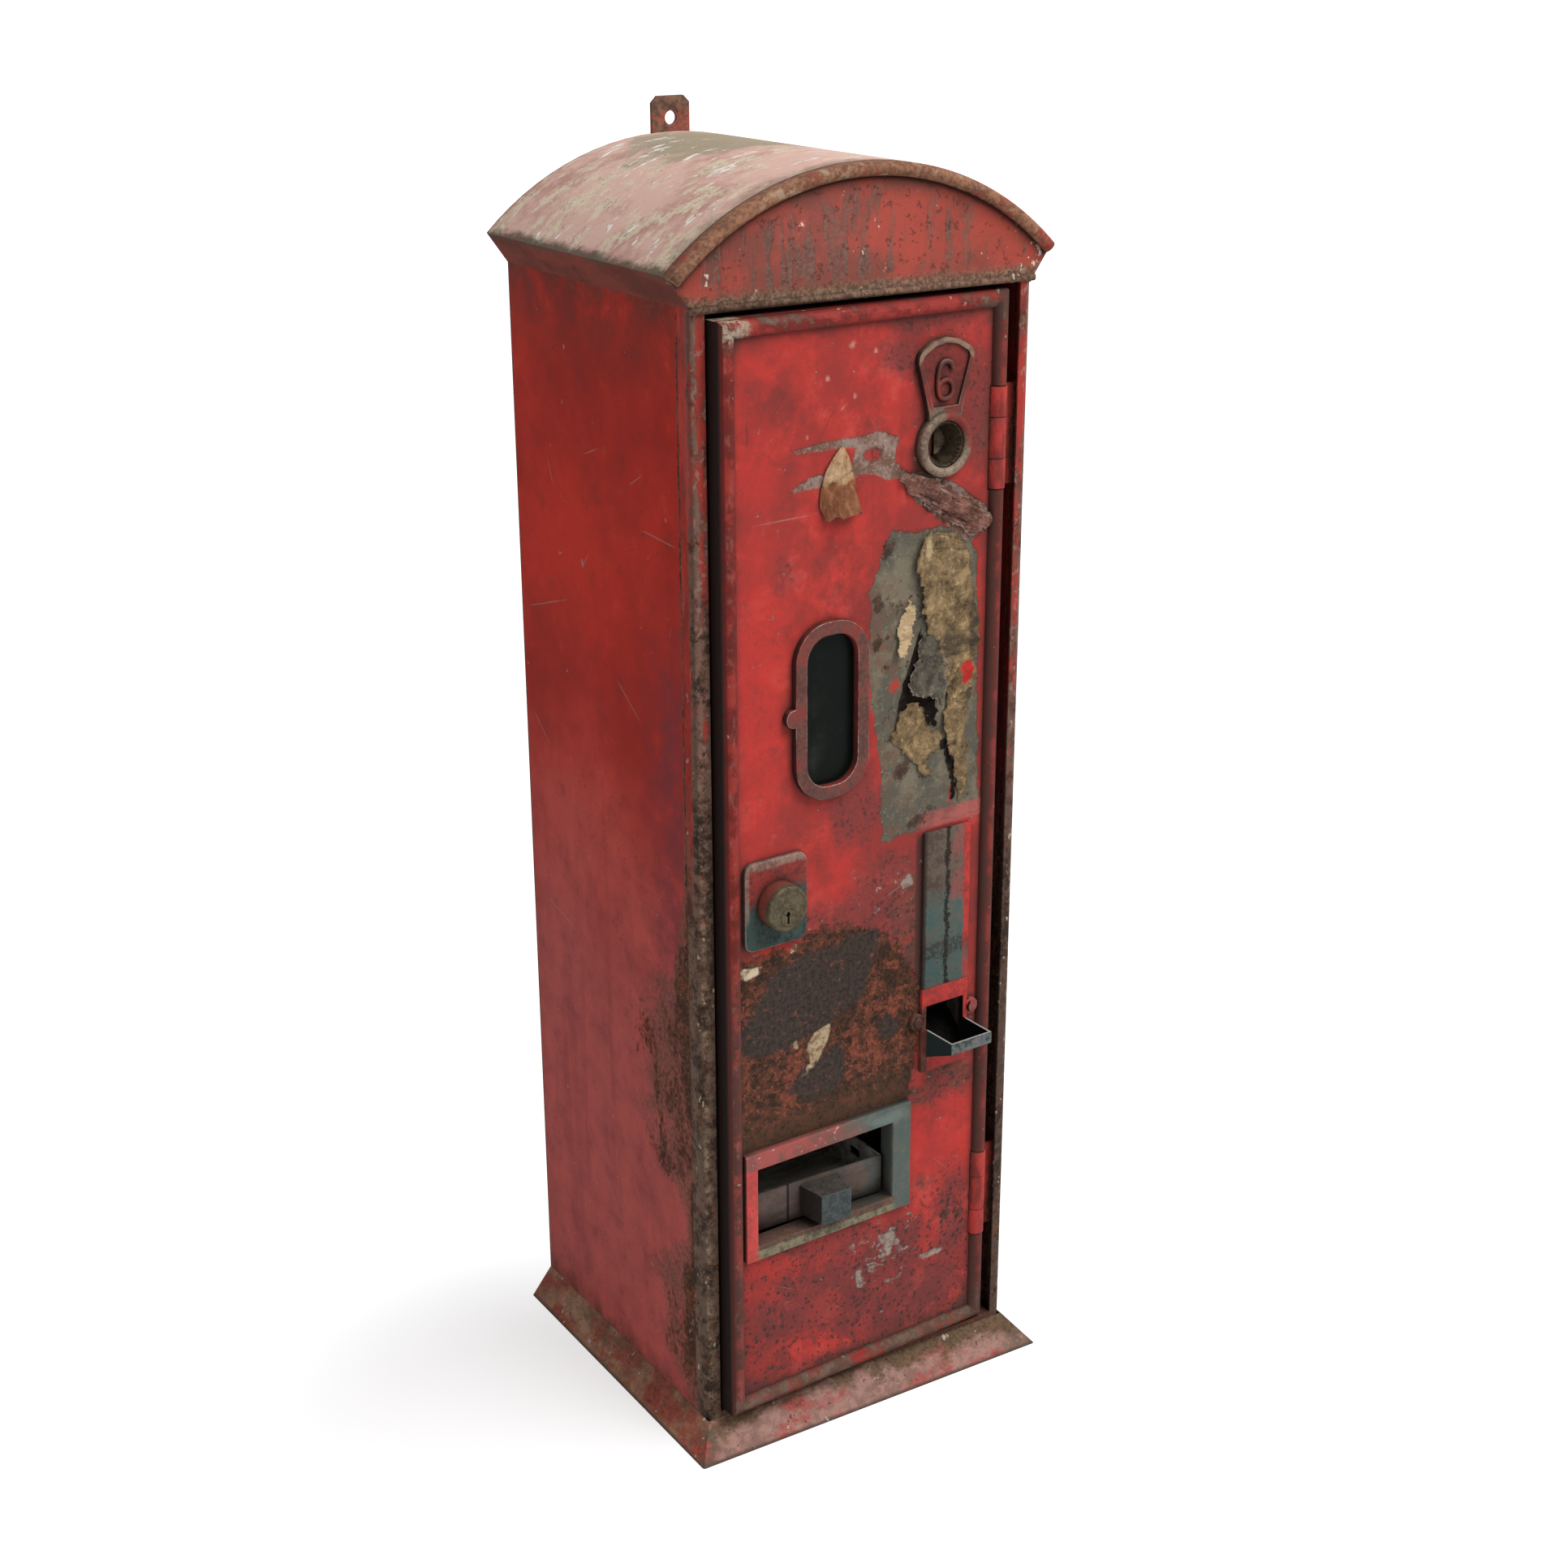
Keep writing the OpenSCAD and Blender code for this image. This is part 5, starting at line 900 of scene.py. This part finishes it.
# Near-black sheets laid under the torn paper and in its gaps: painted shadow.
shadow_coat, tone, height = paper_coat("sooty_paper", (0.016, 0.012, 0.01), (0.009, 0.007, 0.006), (0.006, 0.005, 0.004),
                                (0.55, 0.62), (0.03, 0.022, 0.018))
sooty_paper = shadow_coat.done(tone, 0.95, height, 0.0005)
pulpy, tone, height = paper_coat("cream_paper", (0.56, 0.355, 0.215), (0.36, 0.185, 0.09), (0.20, 0.08, 0.04),
                                 (0.54, 0.62), (0.48, 0.33, 0.19))
x, _, z = pulpy.axes()
folded = (z + (pulpy.noise(120, 4) - 0.5) * 0.012 - x * 0.1).step(0.6105, 0.6075) * z.step(0.57, 0.58)
brown = pulpy.noise(170, 5, 0.75, (1, 1, 0.3)).tint((0.31, 0.118, 0.056), (0.18, 0.062, 0.03))
tone = pulpy.layers(tone, (brown, folded * 0.9), ((0.5, 0.385, 0.225), z.step(0.56, 0.55) * 0.65))
cream_paper = pulpy.done(tone, 0.9, height, 0.0005)
skin, tone, height = paper_coat("maroon_paint_skin", (0.29, 0.13, 0.095), (0.15, 0.066, 0.05),
                                (0.045, 0.028, 0.024), (0.56, 0.62), (0.34, 0.26, 0.21))
fibres = skin.noise(62, 6, 0.75, at=skin.lay((1, 1, 7), at=skin.lay(turn=(0, -0.49, 0))))
tone = skin.layers(tone, ((0.38, 0.27, 0.24), fibres.step(0.55, 0.62) * 0.85),
                   ((0.016, 0.012, 0.011), fibres.step(0.45, 0.38) * 0.9))
maroon_skin = skin.done(tone, 0.85, height + fibres * 5, 0.0005)


def part_way(value, low, high):
    """0 at low, 1 at high, straight between."""
    return min(1, max(0, (value - low) / (high - low)))


# The first two pieces are near-black sheets: painted shadow under the torn paper.
paper("label_shadow_layer", sooty_paper, 8, lambda px, pz: 0.3, [
    (37, 512), (36, 495), (27, 481), (25, 473), (22, 464), (24, 458), (33, 462), (41, 456), (46, 449),
    (51, 447), (51, 460), (47, 470), (40, 480), (40, 500)])
paper("label_shadow_crack", sooty_paper, 12, lambda px, pz: 0.3, [
    (54, 437), (59, 426), (62, 412), (63, 398), (66, 400), (66, 415), (63, 430), (58, 440)])
paper("label_paper_sheet", tan_paper, 1, lambda px, pz: (
    1.0 + 2.4 * part_way(px, 46, 35) + 2.0 * part_way(px, 66, 56) * part_way(pz, 462, 440)), [
    (37, 567), (48, 569), (65, 563), (73, 553), (75, 532), (80, 511), (82, 495), (78, 486), (80, 473),
    (75, 461), (73, 446), (74, 423), (76, 406), (69, 397), (65, 414), (62, 427), (57, 440), (55, 450),
    (58, 461), (54, 475), (52, 491), (51, 502), (43, 507), (40, 515), (38, 526), (37, 535), (32, 547),
    (33, 557)])
paper("label_paper_curl", grey_paper, 3, lambda px, pz: 1.2 + 4.6 * part_way(pz + 0.3 * (px - 40), 486, 462), [
    (37, 507), (44, 508), (54, 502), (57, 487), (57, 472), (53, 465), (50, 460), (45, 466), (41, 469),
    (33, 470), (26, 477), (31, 485), (35, 494)])
paper("label_paper_low", tan_paper, 5, lambda px, pz: 0.6 + 1.6 * part_way(pz, 452, 466), [
    (23, 462), (28, 466), (34, 467), (40, 461), (45, 453), (45, 446), (47, 443), (54, 447), (56, 440),
    (52, 433), (45, 430), (44, 424), (47, 416), (41, 420), (33, 430), (26, 436), (18, 444), (16, 449),
    (21, 453)])
paper("label_paper_flake", cream_paper, 6, lambda px, pz: 0.6 + 2.6 * part_way(pz, 512, 498), [
    (29, 529), (34, 522), (33, 515), (31, 509), (28, 502), (25, 497), (19, 497), (18, 502), (22, 503),
    (20, 508), (20, 514), (23, 518), (26, 523)])
paper("label_paint_flap", maroon_skin, 7, lambda px, pz: (
    1.0 + 3.2 * part_way(pz + 0.55 * px, 606, 618) + 1.6 * part_way(px, 70, 86)), [
    (18, 606), (32, 603), (47, 598), (62, 589), (79, 579), (86, 572), (82, 564), (73, 560), (66, 567),
    (56, 573), (42, 582), (30, 591), (22, 599)])

bpy.ops.object.select_all(action="DESELECT")
bpy.ops.mesh.primitive_grid_add(x_subdivisions=44, y_subdivisions=52, size=2)
scroll = bpy.context.object
scroll.name = "label_paper_scroll"
# A half cone, in mm: u runs round it, t from its open lower end to its point.
for v in scroll.data.vertices:
    u, t = v.co.x, (v.co.y + 1) / 2
    half, depth = 0.8 + 11.6 * (1 - t ** 3.0), 1.2 + 7.0 * (1 - t)
    pleat = noise.fractal(Vector((u * 3.4 + t, t * 2.0 - u, 4)), 0.7, 2.0, 4) * 2.4 * (1 - t ** 4)
    fold = 2.0 * math.exp(-((t - 0.52 - 0.12 * u) / 0.05) ** 2)
    ragged_end = noise.fractal(Vector((u * 3.1, 2.0, 9)), 0.7, 2.0, 3) * 3.0 * max(0, 1 - t * 4)
    v.co = (-20.5 - 3.5 * math.sin(math.pi * t) + half * math.sin(u * 1.5) + pleat * 0.6,
            min(-0.3, -0.8 - (depth + pleat * 1.2 - fold) * math.cos(u * 1.5)),
            588 + 38 * t + ragged_end + 2.0 * u * (1 - t) + pleat * 0.5)
settle(scroll, cream_paper, SCROLL_THICK, -1, 50)


# Lock: a cast plate with teal paint under worn red, and a bronze rim lock through
# it, its plug below the middle. A nut behind the door draws it tight.

def hand_worn(coat, broad=75, small=400, share=0.6):
    """The patchy wear and the fine grain of a handled casting, and a mix of both."""
    patch, fine = coat.noise(broad, 6, 0.72), coat.noise(small, 3, 0.7)
    return patch, fine, patch * share + fine * (1 - share)


plate = door_coat("lock_plate_paint")
x, _, z = plate.axes()
_, ny, _ = plate.facing()
patch, fine, mottle = hand_worn(plate)
bright_edge = x.step(-0.052, -0.06) | z.step(0.380, 0.388)
border = ((ny * -1).step(0.995, 0.93) + mottle * 0.5 - 0.25).step(0.25, 0.7) * (0.35 + bright_edge * 0.6)
upper_edge = (z.frayed(patch, 0.006).step(0.3855, 0.3882)
              | x.step(-0.0868, -0.0886) * z.step(0.352, 0.362) * 0.8)
tone = plate.layers(
    mottle.tint((0.044, 0.068, 0.06), (0.019, 0.027, 0.024), 0.42, 0.6),
    (mottle.tint((0.25, 0.038, 0.032), (0.10, 0.030, 0.026), 0.42, 0.6),
     (z - (x + 0.0685) * 0.15 + (patch - 0.5) * 0.035).step(0.362, 0.374)),
    (mottle.tint((0.26, 0.2, 0.165), (0.14, 0.1, 0.082)), border),
    (mottle.tint((0.27, 0.185, 0.145), (0.15, 0.09, 0.07), 0.43, 0.57), upper_edge * 0.8),
    # Dark in corners and seams: painted shade; with dark specks.
    ((0.03, 0.024, 0.021), plate.crevice(0.008) * 0.75 + fine.step(0.66, 0.73) * 0.3))
dressed("lock_plate", "door",
        plate.done(tone, 0.5 + border * 0.2, fine * 0.6 + patch, 0.0003), 0.0022, 4)

bronze = door_coat("tarnished_bronze")
x, y, z = bronze.axes()
tarnish = bronze.noise(90, 6, 0.72)
fine = bronze.noise(460, 4, 0.7)
painted = y.frayed(tarnish, 0.012).step(-0.1195, -0.1165) * (z - x * 0.5).step(0.392, 0.402)
tone = bronze.layers(
    (tarnish * 0.6 + fine * 0.4).tint((0.125, 0.1, 0.06), (0.055, 0.044, 0.028), 0.41, 0.6),
    ((0.25, 0.2, 0.13), bronze.edge(0.0012) * fine.step(0.42, 0.58) * 0.7),
    ((0.23, 0.05, 0.042), painted * 0.8),
    # Near black in corners: painted shade.
    ((0.014, 0.012, 0.01), bronze.crevice(0.005) * 0.9))
bronze_metal = bronze.done(tone, 0.46 + tarnish * 0.2, fine + tarnish, 0.0003, 0.3)
dressed("lock_cylinder", "door", bronze_metal, 0.0006, 3, 35)
dressed("lock_plug", "lock", bronze_metal, 0.0003)
cad_finish("lock_nut", bronze_metal)


# Stock window: a pressed frame with a rounded moulding and a lug at its side, and a
# dusty pane behind the panel that shows how many packets are left.

moulding = door_coat("window_frame_enamel")
x, _, _ = moulding.axes()
nx, ny, nz = moulding.facing()
wear, fine, mottle = hand_worn(moulding, 70, share=0.5)
forward = ny * -1
crest = (forward.step(0.7, 0.98) * 0.3 + wear * 0.9 + fine * 0.08).step(0.62, 0.84)
# Pale rims along the moulding's edges: rubbed paint, with a painted highlight on those facing up.
rim_wear_and_highlight = (abs(forward - 0.7).step(0.28, 0.18)
        * (moulding.noise(60, 4) + (nz + nx * 0.3) * 0.16).step(0.4, 0.6))
tone = moulding.layers(
    wear.tint((0.21, 0.034, 0.029), (0.105, 0.024, 0.021), 0.4, 0.6),
    (mottle.tint((0.14, 0.085, 0.07), (0.085, 0.047, 0.039), 0.4, 0.6), crest * 0.7),
    (fine.tint((0.48, 0.34, 0.28), (0.28, 0.16, 0.13)), rim_wear_and_highlight * 0.85),
    # Dark on the left flank and in corners: painted shade.
    ((0.03, 0.016, 0.014), nx.step(-0.55, -0.85) * x.step(-0.03, -0.04) * 0.8),
    ((0.022, 0.015, 0.013), moulding.crevice(0.009) * 0.85))
dressed("window_frame", "door",
        moulding.done(tone, 0.5 + crest * 0.15, fine * 0.6 + wear, 0.0003), 0.0032, 6)

glass = door_coat("dusty_glass")
dust = glass.noise(40, 6, 0.7)
smear = glass.noise(1, 4, stretch=(30, 30, 6))
tone = (dust * 0.6 + smear * 0.4).tint((0.004, 0.0055, 0.0045), (0.02, 0.022, 0.018), 0.5, 0.72)
cad_finish("window_glass", glass.done(tone, 0.2 + dust * 0.25, gloss=0.06))


# Coin entry: one casting, a shield with a raised price figure over a ring, with a
# bronze cup in the ring whose floor has the coin slot. Rubbed bare by fingers.

shield = door_coat("coin_shield_enamel")
x, y, z = shield.axes()
nx, _, nz = shield.facing()
wear, fine, mottle = hand_worn(shield, small=420)
off_middle = x - 0.0506
low_left = ((off_middle * -0.6 + (z - 0.619) * -0.8 + (wear - 0.5) * 0.04).step(-0.02, 0.006)
            * z.step(0.646, 0.636))
proud = (y.step(-0.1086, -0.1099) * 0.26 + shield.edge(0.002) * 0.18 + wear * 0.55 + fine * 0.12
         + low_left * 0.32 + z.step(0.66, 0.682) * 0.08).step(0.56, 0.74)
rubbed = shield.mix(
    mottle.tint((0.255, 0.185, 0.135), (0.125, 0.093, 0.068)),
    wear.tint((0.17, 0.075, 0.058), (0.11, 0.042, 0.035)), z.step(0.64, 0.65))
crown = z + off_middle * off_middle * 29.6 + (wear - 0.5) * 0.004
top_rim = nz.step(0.2, 0.6) * z.step(0.655, 0.668) | crown.step(0.6762, 0.6784) * y.step(-0.1088, -0.1096)
tone = shield.layers(
    wear.tint((0.2, 0.034, 0.028), (0.095, 0.025, 0.022), 0.38, 0.58),
    (rubbed, proud),
    (wear.tint((0.25, 0.18, 0.125), (0.13, 0.085, 0.06)), top_rim * 0.8),
    # Dark on the left outer flank, in corners and in the grooves: painted shade.
    ((0.022, 0.012, 0.01), nx.step(-0.4, -0.8) * z.step(0.63, 0.645) * 0.8),
    ((0.02, 0.012, 0.01), shield.crevice(0.01) * 0.95),
    ((0.014, 0.009, 0.008), shield.crevice(0.005).step(0.3, 0.65) * 0.9))
shield_paint = shield.done(tone, 0.52 + proud * 0.12, fine * 0.7 + wear, 0.0003, proud * 0.2)
dressed("coin_escutcheon", "door", shield_paint, 0.0009, 3)

# The figure is one rounded stroke, laid out in mm from its middle.
FIGURE_AT = (0.0502, -0.1091, 0.656)
STROKE = (
    (4.8, 6.0), (4.8, 7.8), (3.4, 10.2), (0.0, 11.2), (-3.6, 9.4), (-5.2, 5.4), (-5.6, 0.8), (-5.6, -4.6),
    (-4.9, -9.0), (-1.6, -11.2), (2.4, -11.0), (5.4, -8.4), (5.6, -3.6), (3.4, -0.2), (-0.4, 0.6),
    (-3.8, -1.0), (-5.2, -3.6))
bpy.ops.object.select_all(action="DESELECT")
bpy.ops.curve.primitive_nurbs_path_add()
figure = bpy.context.object
figure.name = "price_figure"
bpy.ops.object.mode_set(mode="EDIT")
bpy.ops.curve.select_all(action="SELECT")
bpy.ops.curve.subdivide(number_cuts=3)
bpy.ops.object.mode_set(mode="OBJECT")
points = figure.data.splines[0].points
for point, (px, pz) in zip(points, STROKE):
    point.co = (px, 0, pz, 1)
points[0].radius = points[1].radius = 1.2
figure.data.bevel_depth, figure.data.bevel_resolution, figure.data.use_fill_caps = 1.5, 3, True
bpy.ops.object.convert(target="MESH")
bpy.ops.object.mode_set(mode="EDIT")
bpy.ops.mesh.select_all(action="SELECT")
bpy.ops.mesh.normals_make_consistent(inside=False)
bpy.ops.object.mode_set(mode="OBJECT")
figure.data.transform(swung @ Matrix.Translation(FIGURE_AT) @ FROM_MM)
covered(figure, shield_paint)
bpy.ops.object.shade_smooth_by_angle(angle=math.radians(40))
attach(figure, "door")

cup = door_coat("coin_cup_bronze")
fine = cup.noise(300, 4, 0.7)
tone = fine.tint((0.075, 0.054, 0.034), (0.04, 0.029, 0.02), 0.4, 0.62)
dressed("coin_cup", "door", cup.done(tone, 0.42, fine, 0.0002, 0.5), angle=35)
cad_finish("coin_flap coin_gate drawer_pawl", bronze_metal)


# Chute cover and return scoop: a strip that hides the coin chute, painted teal and
# split by a crack in its filler, and below it a cast scoop on a plate with two ears.
# A steel ramp behind the door leads into the scoop, coloured near black as painted shade.

cover = door_coat("chute_cover_paint")
x, _, z = cover.axes()
nx, _, _ = cover.facing()
patch, fine, mottle = hand_worn(cover, share=0.55)
wander = (cover.noise(90, 7, 0.85) - 0.5) * 0.012
seam = abs(x - 0.0600 + wander).frayed(fine, 0.007).step(0.0018, 0.0002)
smudge = abs(z - 0.302 + wander).frayed(patch, 0.012).step(0.0075, 0.003) * fine.step(0.42, 0.52)
red_edge = x.frayed(patch, 0.006).step(0.0722, 0.0736)
tone = cover.layers(
    mottle.tint((0.055, 0.095, 0.088), (0.092, 0.096, 0.082), 0.43, 0.57),
    (mottle.tint((0.115, 0.088, 0.068), (0.07, 0.05, 0.04), 0.43, 0.58),
     z.frayed(patch, 0.05).step(0.332, 0.346)),
    ((0.25, 0.075, 0.066), x.step(0.060, 0.065) * z.frayed(patch, 0.08).step(0.318, 0.345)
     * patch.step(0.42, 0.55) * 0.7),
    ((0.018, 0.014, 0.012), seam * 0.92),
    ((0.04, 0.034, 0.03), smudge * 0.85),
    ((0.04, 0.034, 0.03), cover.noise(230, 3, 0.7).step(0.62, 0.67) * 0.7),
    (mottle.tint((0.45, 0.04, 0.034), (0.24, 0.034, 0.03), 0.42, 0.6),
     red_edge * (1 - z.step(0.31, 0.296) * patch.step(0.4, 0.5) * 0.6)),
    # The strip's left side face and its left margin dark: painted shade.
    ((0.035, 0.022, 0.018), nx.step(-0.4, -0.75) * 0.9 | (x + wander * 0.4).step(0.0445, 0.0432) * 0.8))
height = fine * 0.6 + patch - seam * 2.0 - smudge * 0.6
dressed("chute_cover", "door", cover.done(tone, 0.55, height), 0.0007)

scoop = door_coat("scoop_paint")
x, y, z = scoop.axes()
nx, ny, nz = scoop.facing()
patch, fine, mottle = hand_worn(scoop)
left_ear, right_ear = x.step(0.0422, 0.0412), x.step(0.0778, 0.0788)
margin = x.frayed(patch, 0.004).step(0.0475, 0.0455) * z.frayed(patch, 0.01).step(0.268, 0.262)
proud = y.frayed(patch, 0.002).step(-0.1105, -0.1118)
# Steel where proud, near-black teal on its faces towards the left: painted shade.
steel_and_side_shade = scoop.mix(mottle.tint((0.075, 0.085, 0.083), (0.03, 0.04, 0.04), 0.42, 0.6),
                  (0.016, 0.024, 0.024), nx.step(-0.4, -0.8))
# Inside walls and floor of the scoop near black: painted shade.
scoop_inside_shade = (((0.060 - x) * nx).step(0.002, 0.006) | ny.step(0.2, 0.6)
               | nz.step(0.2, 0.6) * z.step(0.2495, 0.2485))
tone = scoop.layers(
    mottle.tint((0.45, 0.042, 0.036), (0.24, 0.034, 0.03), 0.42, 0.6),
    (mottle.tint((0.17, 0.11, 0.072), (0.12, 0.05, 0.036), 0.45, 0.56), left_ear * 0.9),
    (mottle.tint((0.12, 0.05, 0.035), (0.06, 0.034, 0.026), 0.44, 0.57), margin * 0.9),
    (mottle.tint((0.30, 0.075, 0.066), (0.17, 0.045, 0.04), 0.44, 0.57), right_ear * 0.85),
    (steel_and_side_shade, proud),
    ((0.15, 0.152, 0.145), y.step(-0.131, -0.1335) * (ny * -1).step(0.3, 0.7) * mottle.step(0.58, 0.42) * 0.9),
    ((0.004, 0.004, 0.004), scoop_inside_shade),
    ((0.34, 0.33, 0.31), nz.step(0.6, 0.9) * z.step(0.2488, 0.2496) * proud * 0.85))
scoop_paint = scoop.done(tone, 0.5, fine * 0.6 + patch, 0.0003)
dressed("return_scoop", "door", scoop_paint, 0.0005)
dressed("scoop_screws", "door", scoop_paint, 0.001, 3)
# Matt near-black steel: painted shade in the scoop's mouth.
ramp_shade = Coat("greasy_ramp_steel")
tone = ramp_shade.noise(300, 4, 0.7).tint((0.005, 0.005, 0.0045), (0.011, 0.01, 0.009), 0.45, 0.65)
cad_finish("coin_ramp", ramp_shade.done(tone, 0.8, gloss=0.02))


# Drawer bezel: a cast frame round the drawer's mouth, lined through the door. Red
# at the left, rubbed to teal at the right, its lower bar worn to a greenish grey.

bezel = door_coat("bezel_paint")
x, y, z = bezel.axes()
patch, fine, mottle = hand_worn(bezel)
topmost = z.step(0.1928, 0.1936) * x.step(0.0, -0.03)
low_bar = z.frayed(patch, 0.003).step(0.1412, 0.1402) * x.step(-0.0865, -0.082) * x.step(0.024, 0.016)
ledge = (z + (patch - 0.5) * 0.004 + (x + 0.03) * 0.02).step(0.1352, 0.1372) * low_bar
pale_teal = bezel.blot((0.014, -0.11, 0.197), (0.026, 1, 0.007), patch, 2.0, 0.9)
lining = y.step(-0.1095, -0.108)
tone = bezel.layers(
    mottle.tint((0.56, 0.072, 0.065), (0.38, 0.06, 0.055), 0.42, 0.6),
    (mottle.tint((0.078, 0.104, 0.094), (0.115, 0.112, 0.095), 0.43, 0.58),
     x.frayed(patch, 0.07).step(-0.028, -0.004)),
    (patch.tint((0.27, 0.09, 0.078), (0.15, 0.085, 0.072), 0.44, 0.56), topmost * 0.75),
    ((0.42, 0.36, 0.31), topmost * bezel.noise(240, 3, 0.7).step(0.63, 0.67) * 0.8),
    (mottle.tint((0.22, 0.19, 0.12), (0.10, 0.09, 0.058), 0.43, 0.58), low_bar),
    (mottle.tint((0.125, 0.056, 0.042), (0.075, 0.046, 0.035), 0.43, 0.58), ledge * 0.9),
    ((0.15, 0.19, 0.17), pale_teal * 0.75),
    # The lining inside the mouth darker towards the right: painted shade.
    ((0.045, 0.048, 0.043), lining * x.step(-0.06, 0.0) * 0.7),
    # Dark in corners and seams: painted shade; with dark specks.
    ((0.02, 0.018, 0.016), bezel.crevice(0.01) * 0.85 + fine.step(0.66, 0.73) * 0.5),
    ((0.24, 0.2, 0.17), bezel.edge(0.0018) * patch.step(0.42, 0.56) * 0.5))
dressed("drawer_bezel", "door", bezel.done(tone, 0.55, fine * 0.6 + patch, 0.0003), 0.0016, 3)


# Drawer: a sheet tray with a painted front plate and a cast block knob, screwed on
# from inside. Front and knob are grey-brown and slate, greasy from hands; the tray,
# like the weight that follows the packets down, has a stained zinc wash.

slide = Coat("drawer_front_paint")
x, _, _ = slide.axes()
patch = slide.noise(55, 6, 0.7, (1, 1, 2))
fine = slide.noise(400, 3, 0.7)
mottle = patch * 0.7 + fine * 0.3
thumbed = slide.blot((-0.0035, DOOR_FACE, 0.156), (0.0125, 1, 0.0145), patch, 0.5, 0.35)
tone = slide.layers(
    mottle.tint((0.125, 0.085, 0.072), (0.085, 0.066, 0.057)),
    (mottle.tint((0.075, 0.082, 0.077), (0.05, 0.055, 0.052)),
     x.frayed(patch, 0.02).step(-0.02, -0.008) * 0.85),
    (mottle.tint((0.125, 0.085, 0.068), (0.09, 0.062, 0.05)), thumbed * 0.85),
    ((0.018, 0.015, 0.013), abs(x + 0.0535).step(0.0013, 0.0004) | fine.step(0.66, 0.73) * 0.5),
    # Near black in corners and seams: painted shade.
    ((0.012, 0.01, 0.009), slide.crevice(0.014) * 0.85))
dressed("drawer_front", "drawer", slide.done(tone, 0.55, fine + patch, 0.0003), 0.0003)

tray = Coat("tray_zinc_wash")
wash = tray.noise(60, 5, 0.7, (0.3, 1, 1))
soiled = (tray.noise(40, 6, 0.72) + tray.crevice(0.02) * 0.14).step(0.52, 0.68)
tone = tray.mix(wash.tint((0.42, 0.415, 0.365), (0.24, 0.23, 0.2), 0.42, 0.6), rust(tray), soiled * 0.8)
cad_finish("drawer_tray follower_weight", tray.done(tone, 0.6 + soiled * 0.2, wash - soiled, 0.0002))

iron = Coat("slate_knob_paint")
nx, ny, _ = iron.facing()
patch, fine, mottle = hand_worn(iron, 110, 420)
tone = iron.layers(
    mottle.tint((0.07, 0.082, 0.082), (0.036, 0.044, 0.045)),
    (mottle.tint((0.075, 0.062, 0.052), (0.04, 0.034, 0.03)), (ny * -1).step(0.9, 0.6) * 0.9),
    # Faces towards the left dark: painted shade.
    ((0.022, 0.018, 0.016), nx.step(-0.5, -0.85) * 0.8),
    ((0.17, 0.165, 0.15), iron.edge(0.0018) * patch.step(0.44, 0.56) * 0.6),
    ((0.025, 0.02, 0.018), fine.step(0.64, 0.72) * 0.5))
dressed("drawer_knob", "drawer", iron.done(tone, 0.5, fine * 0.8 + patch), 0.0016, 3)
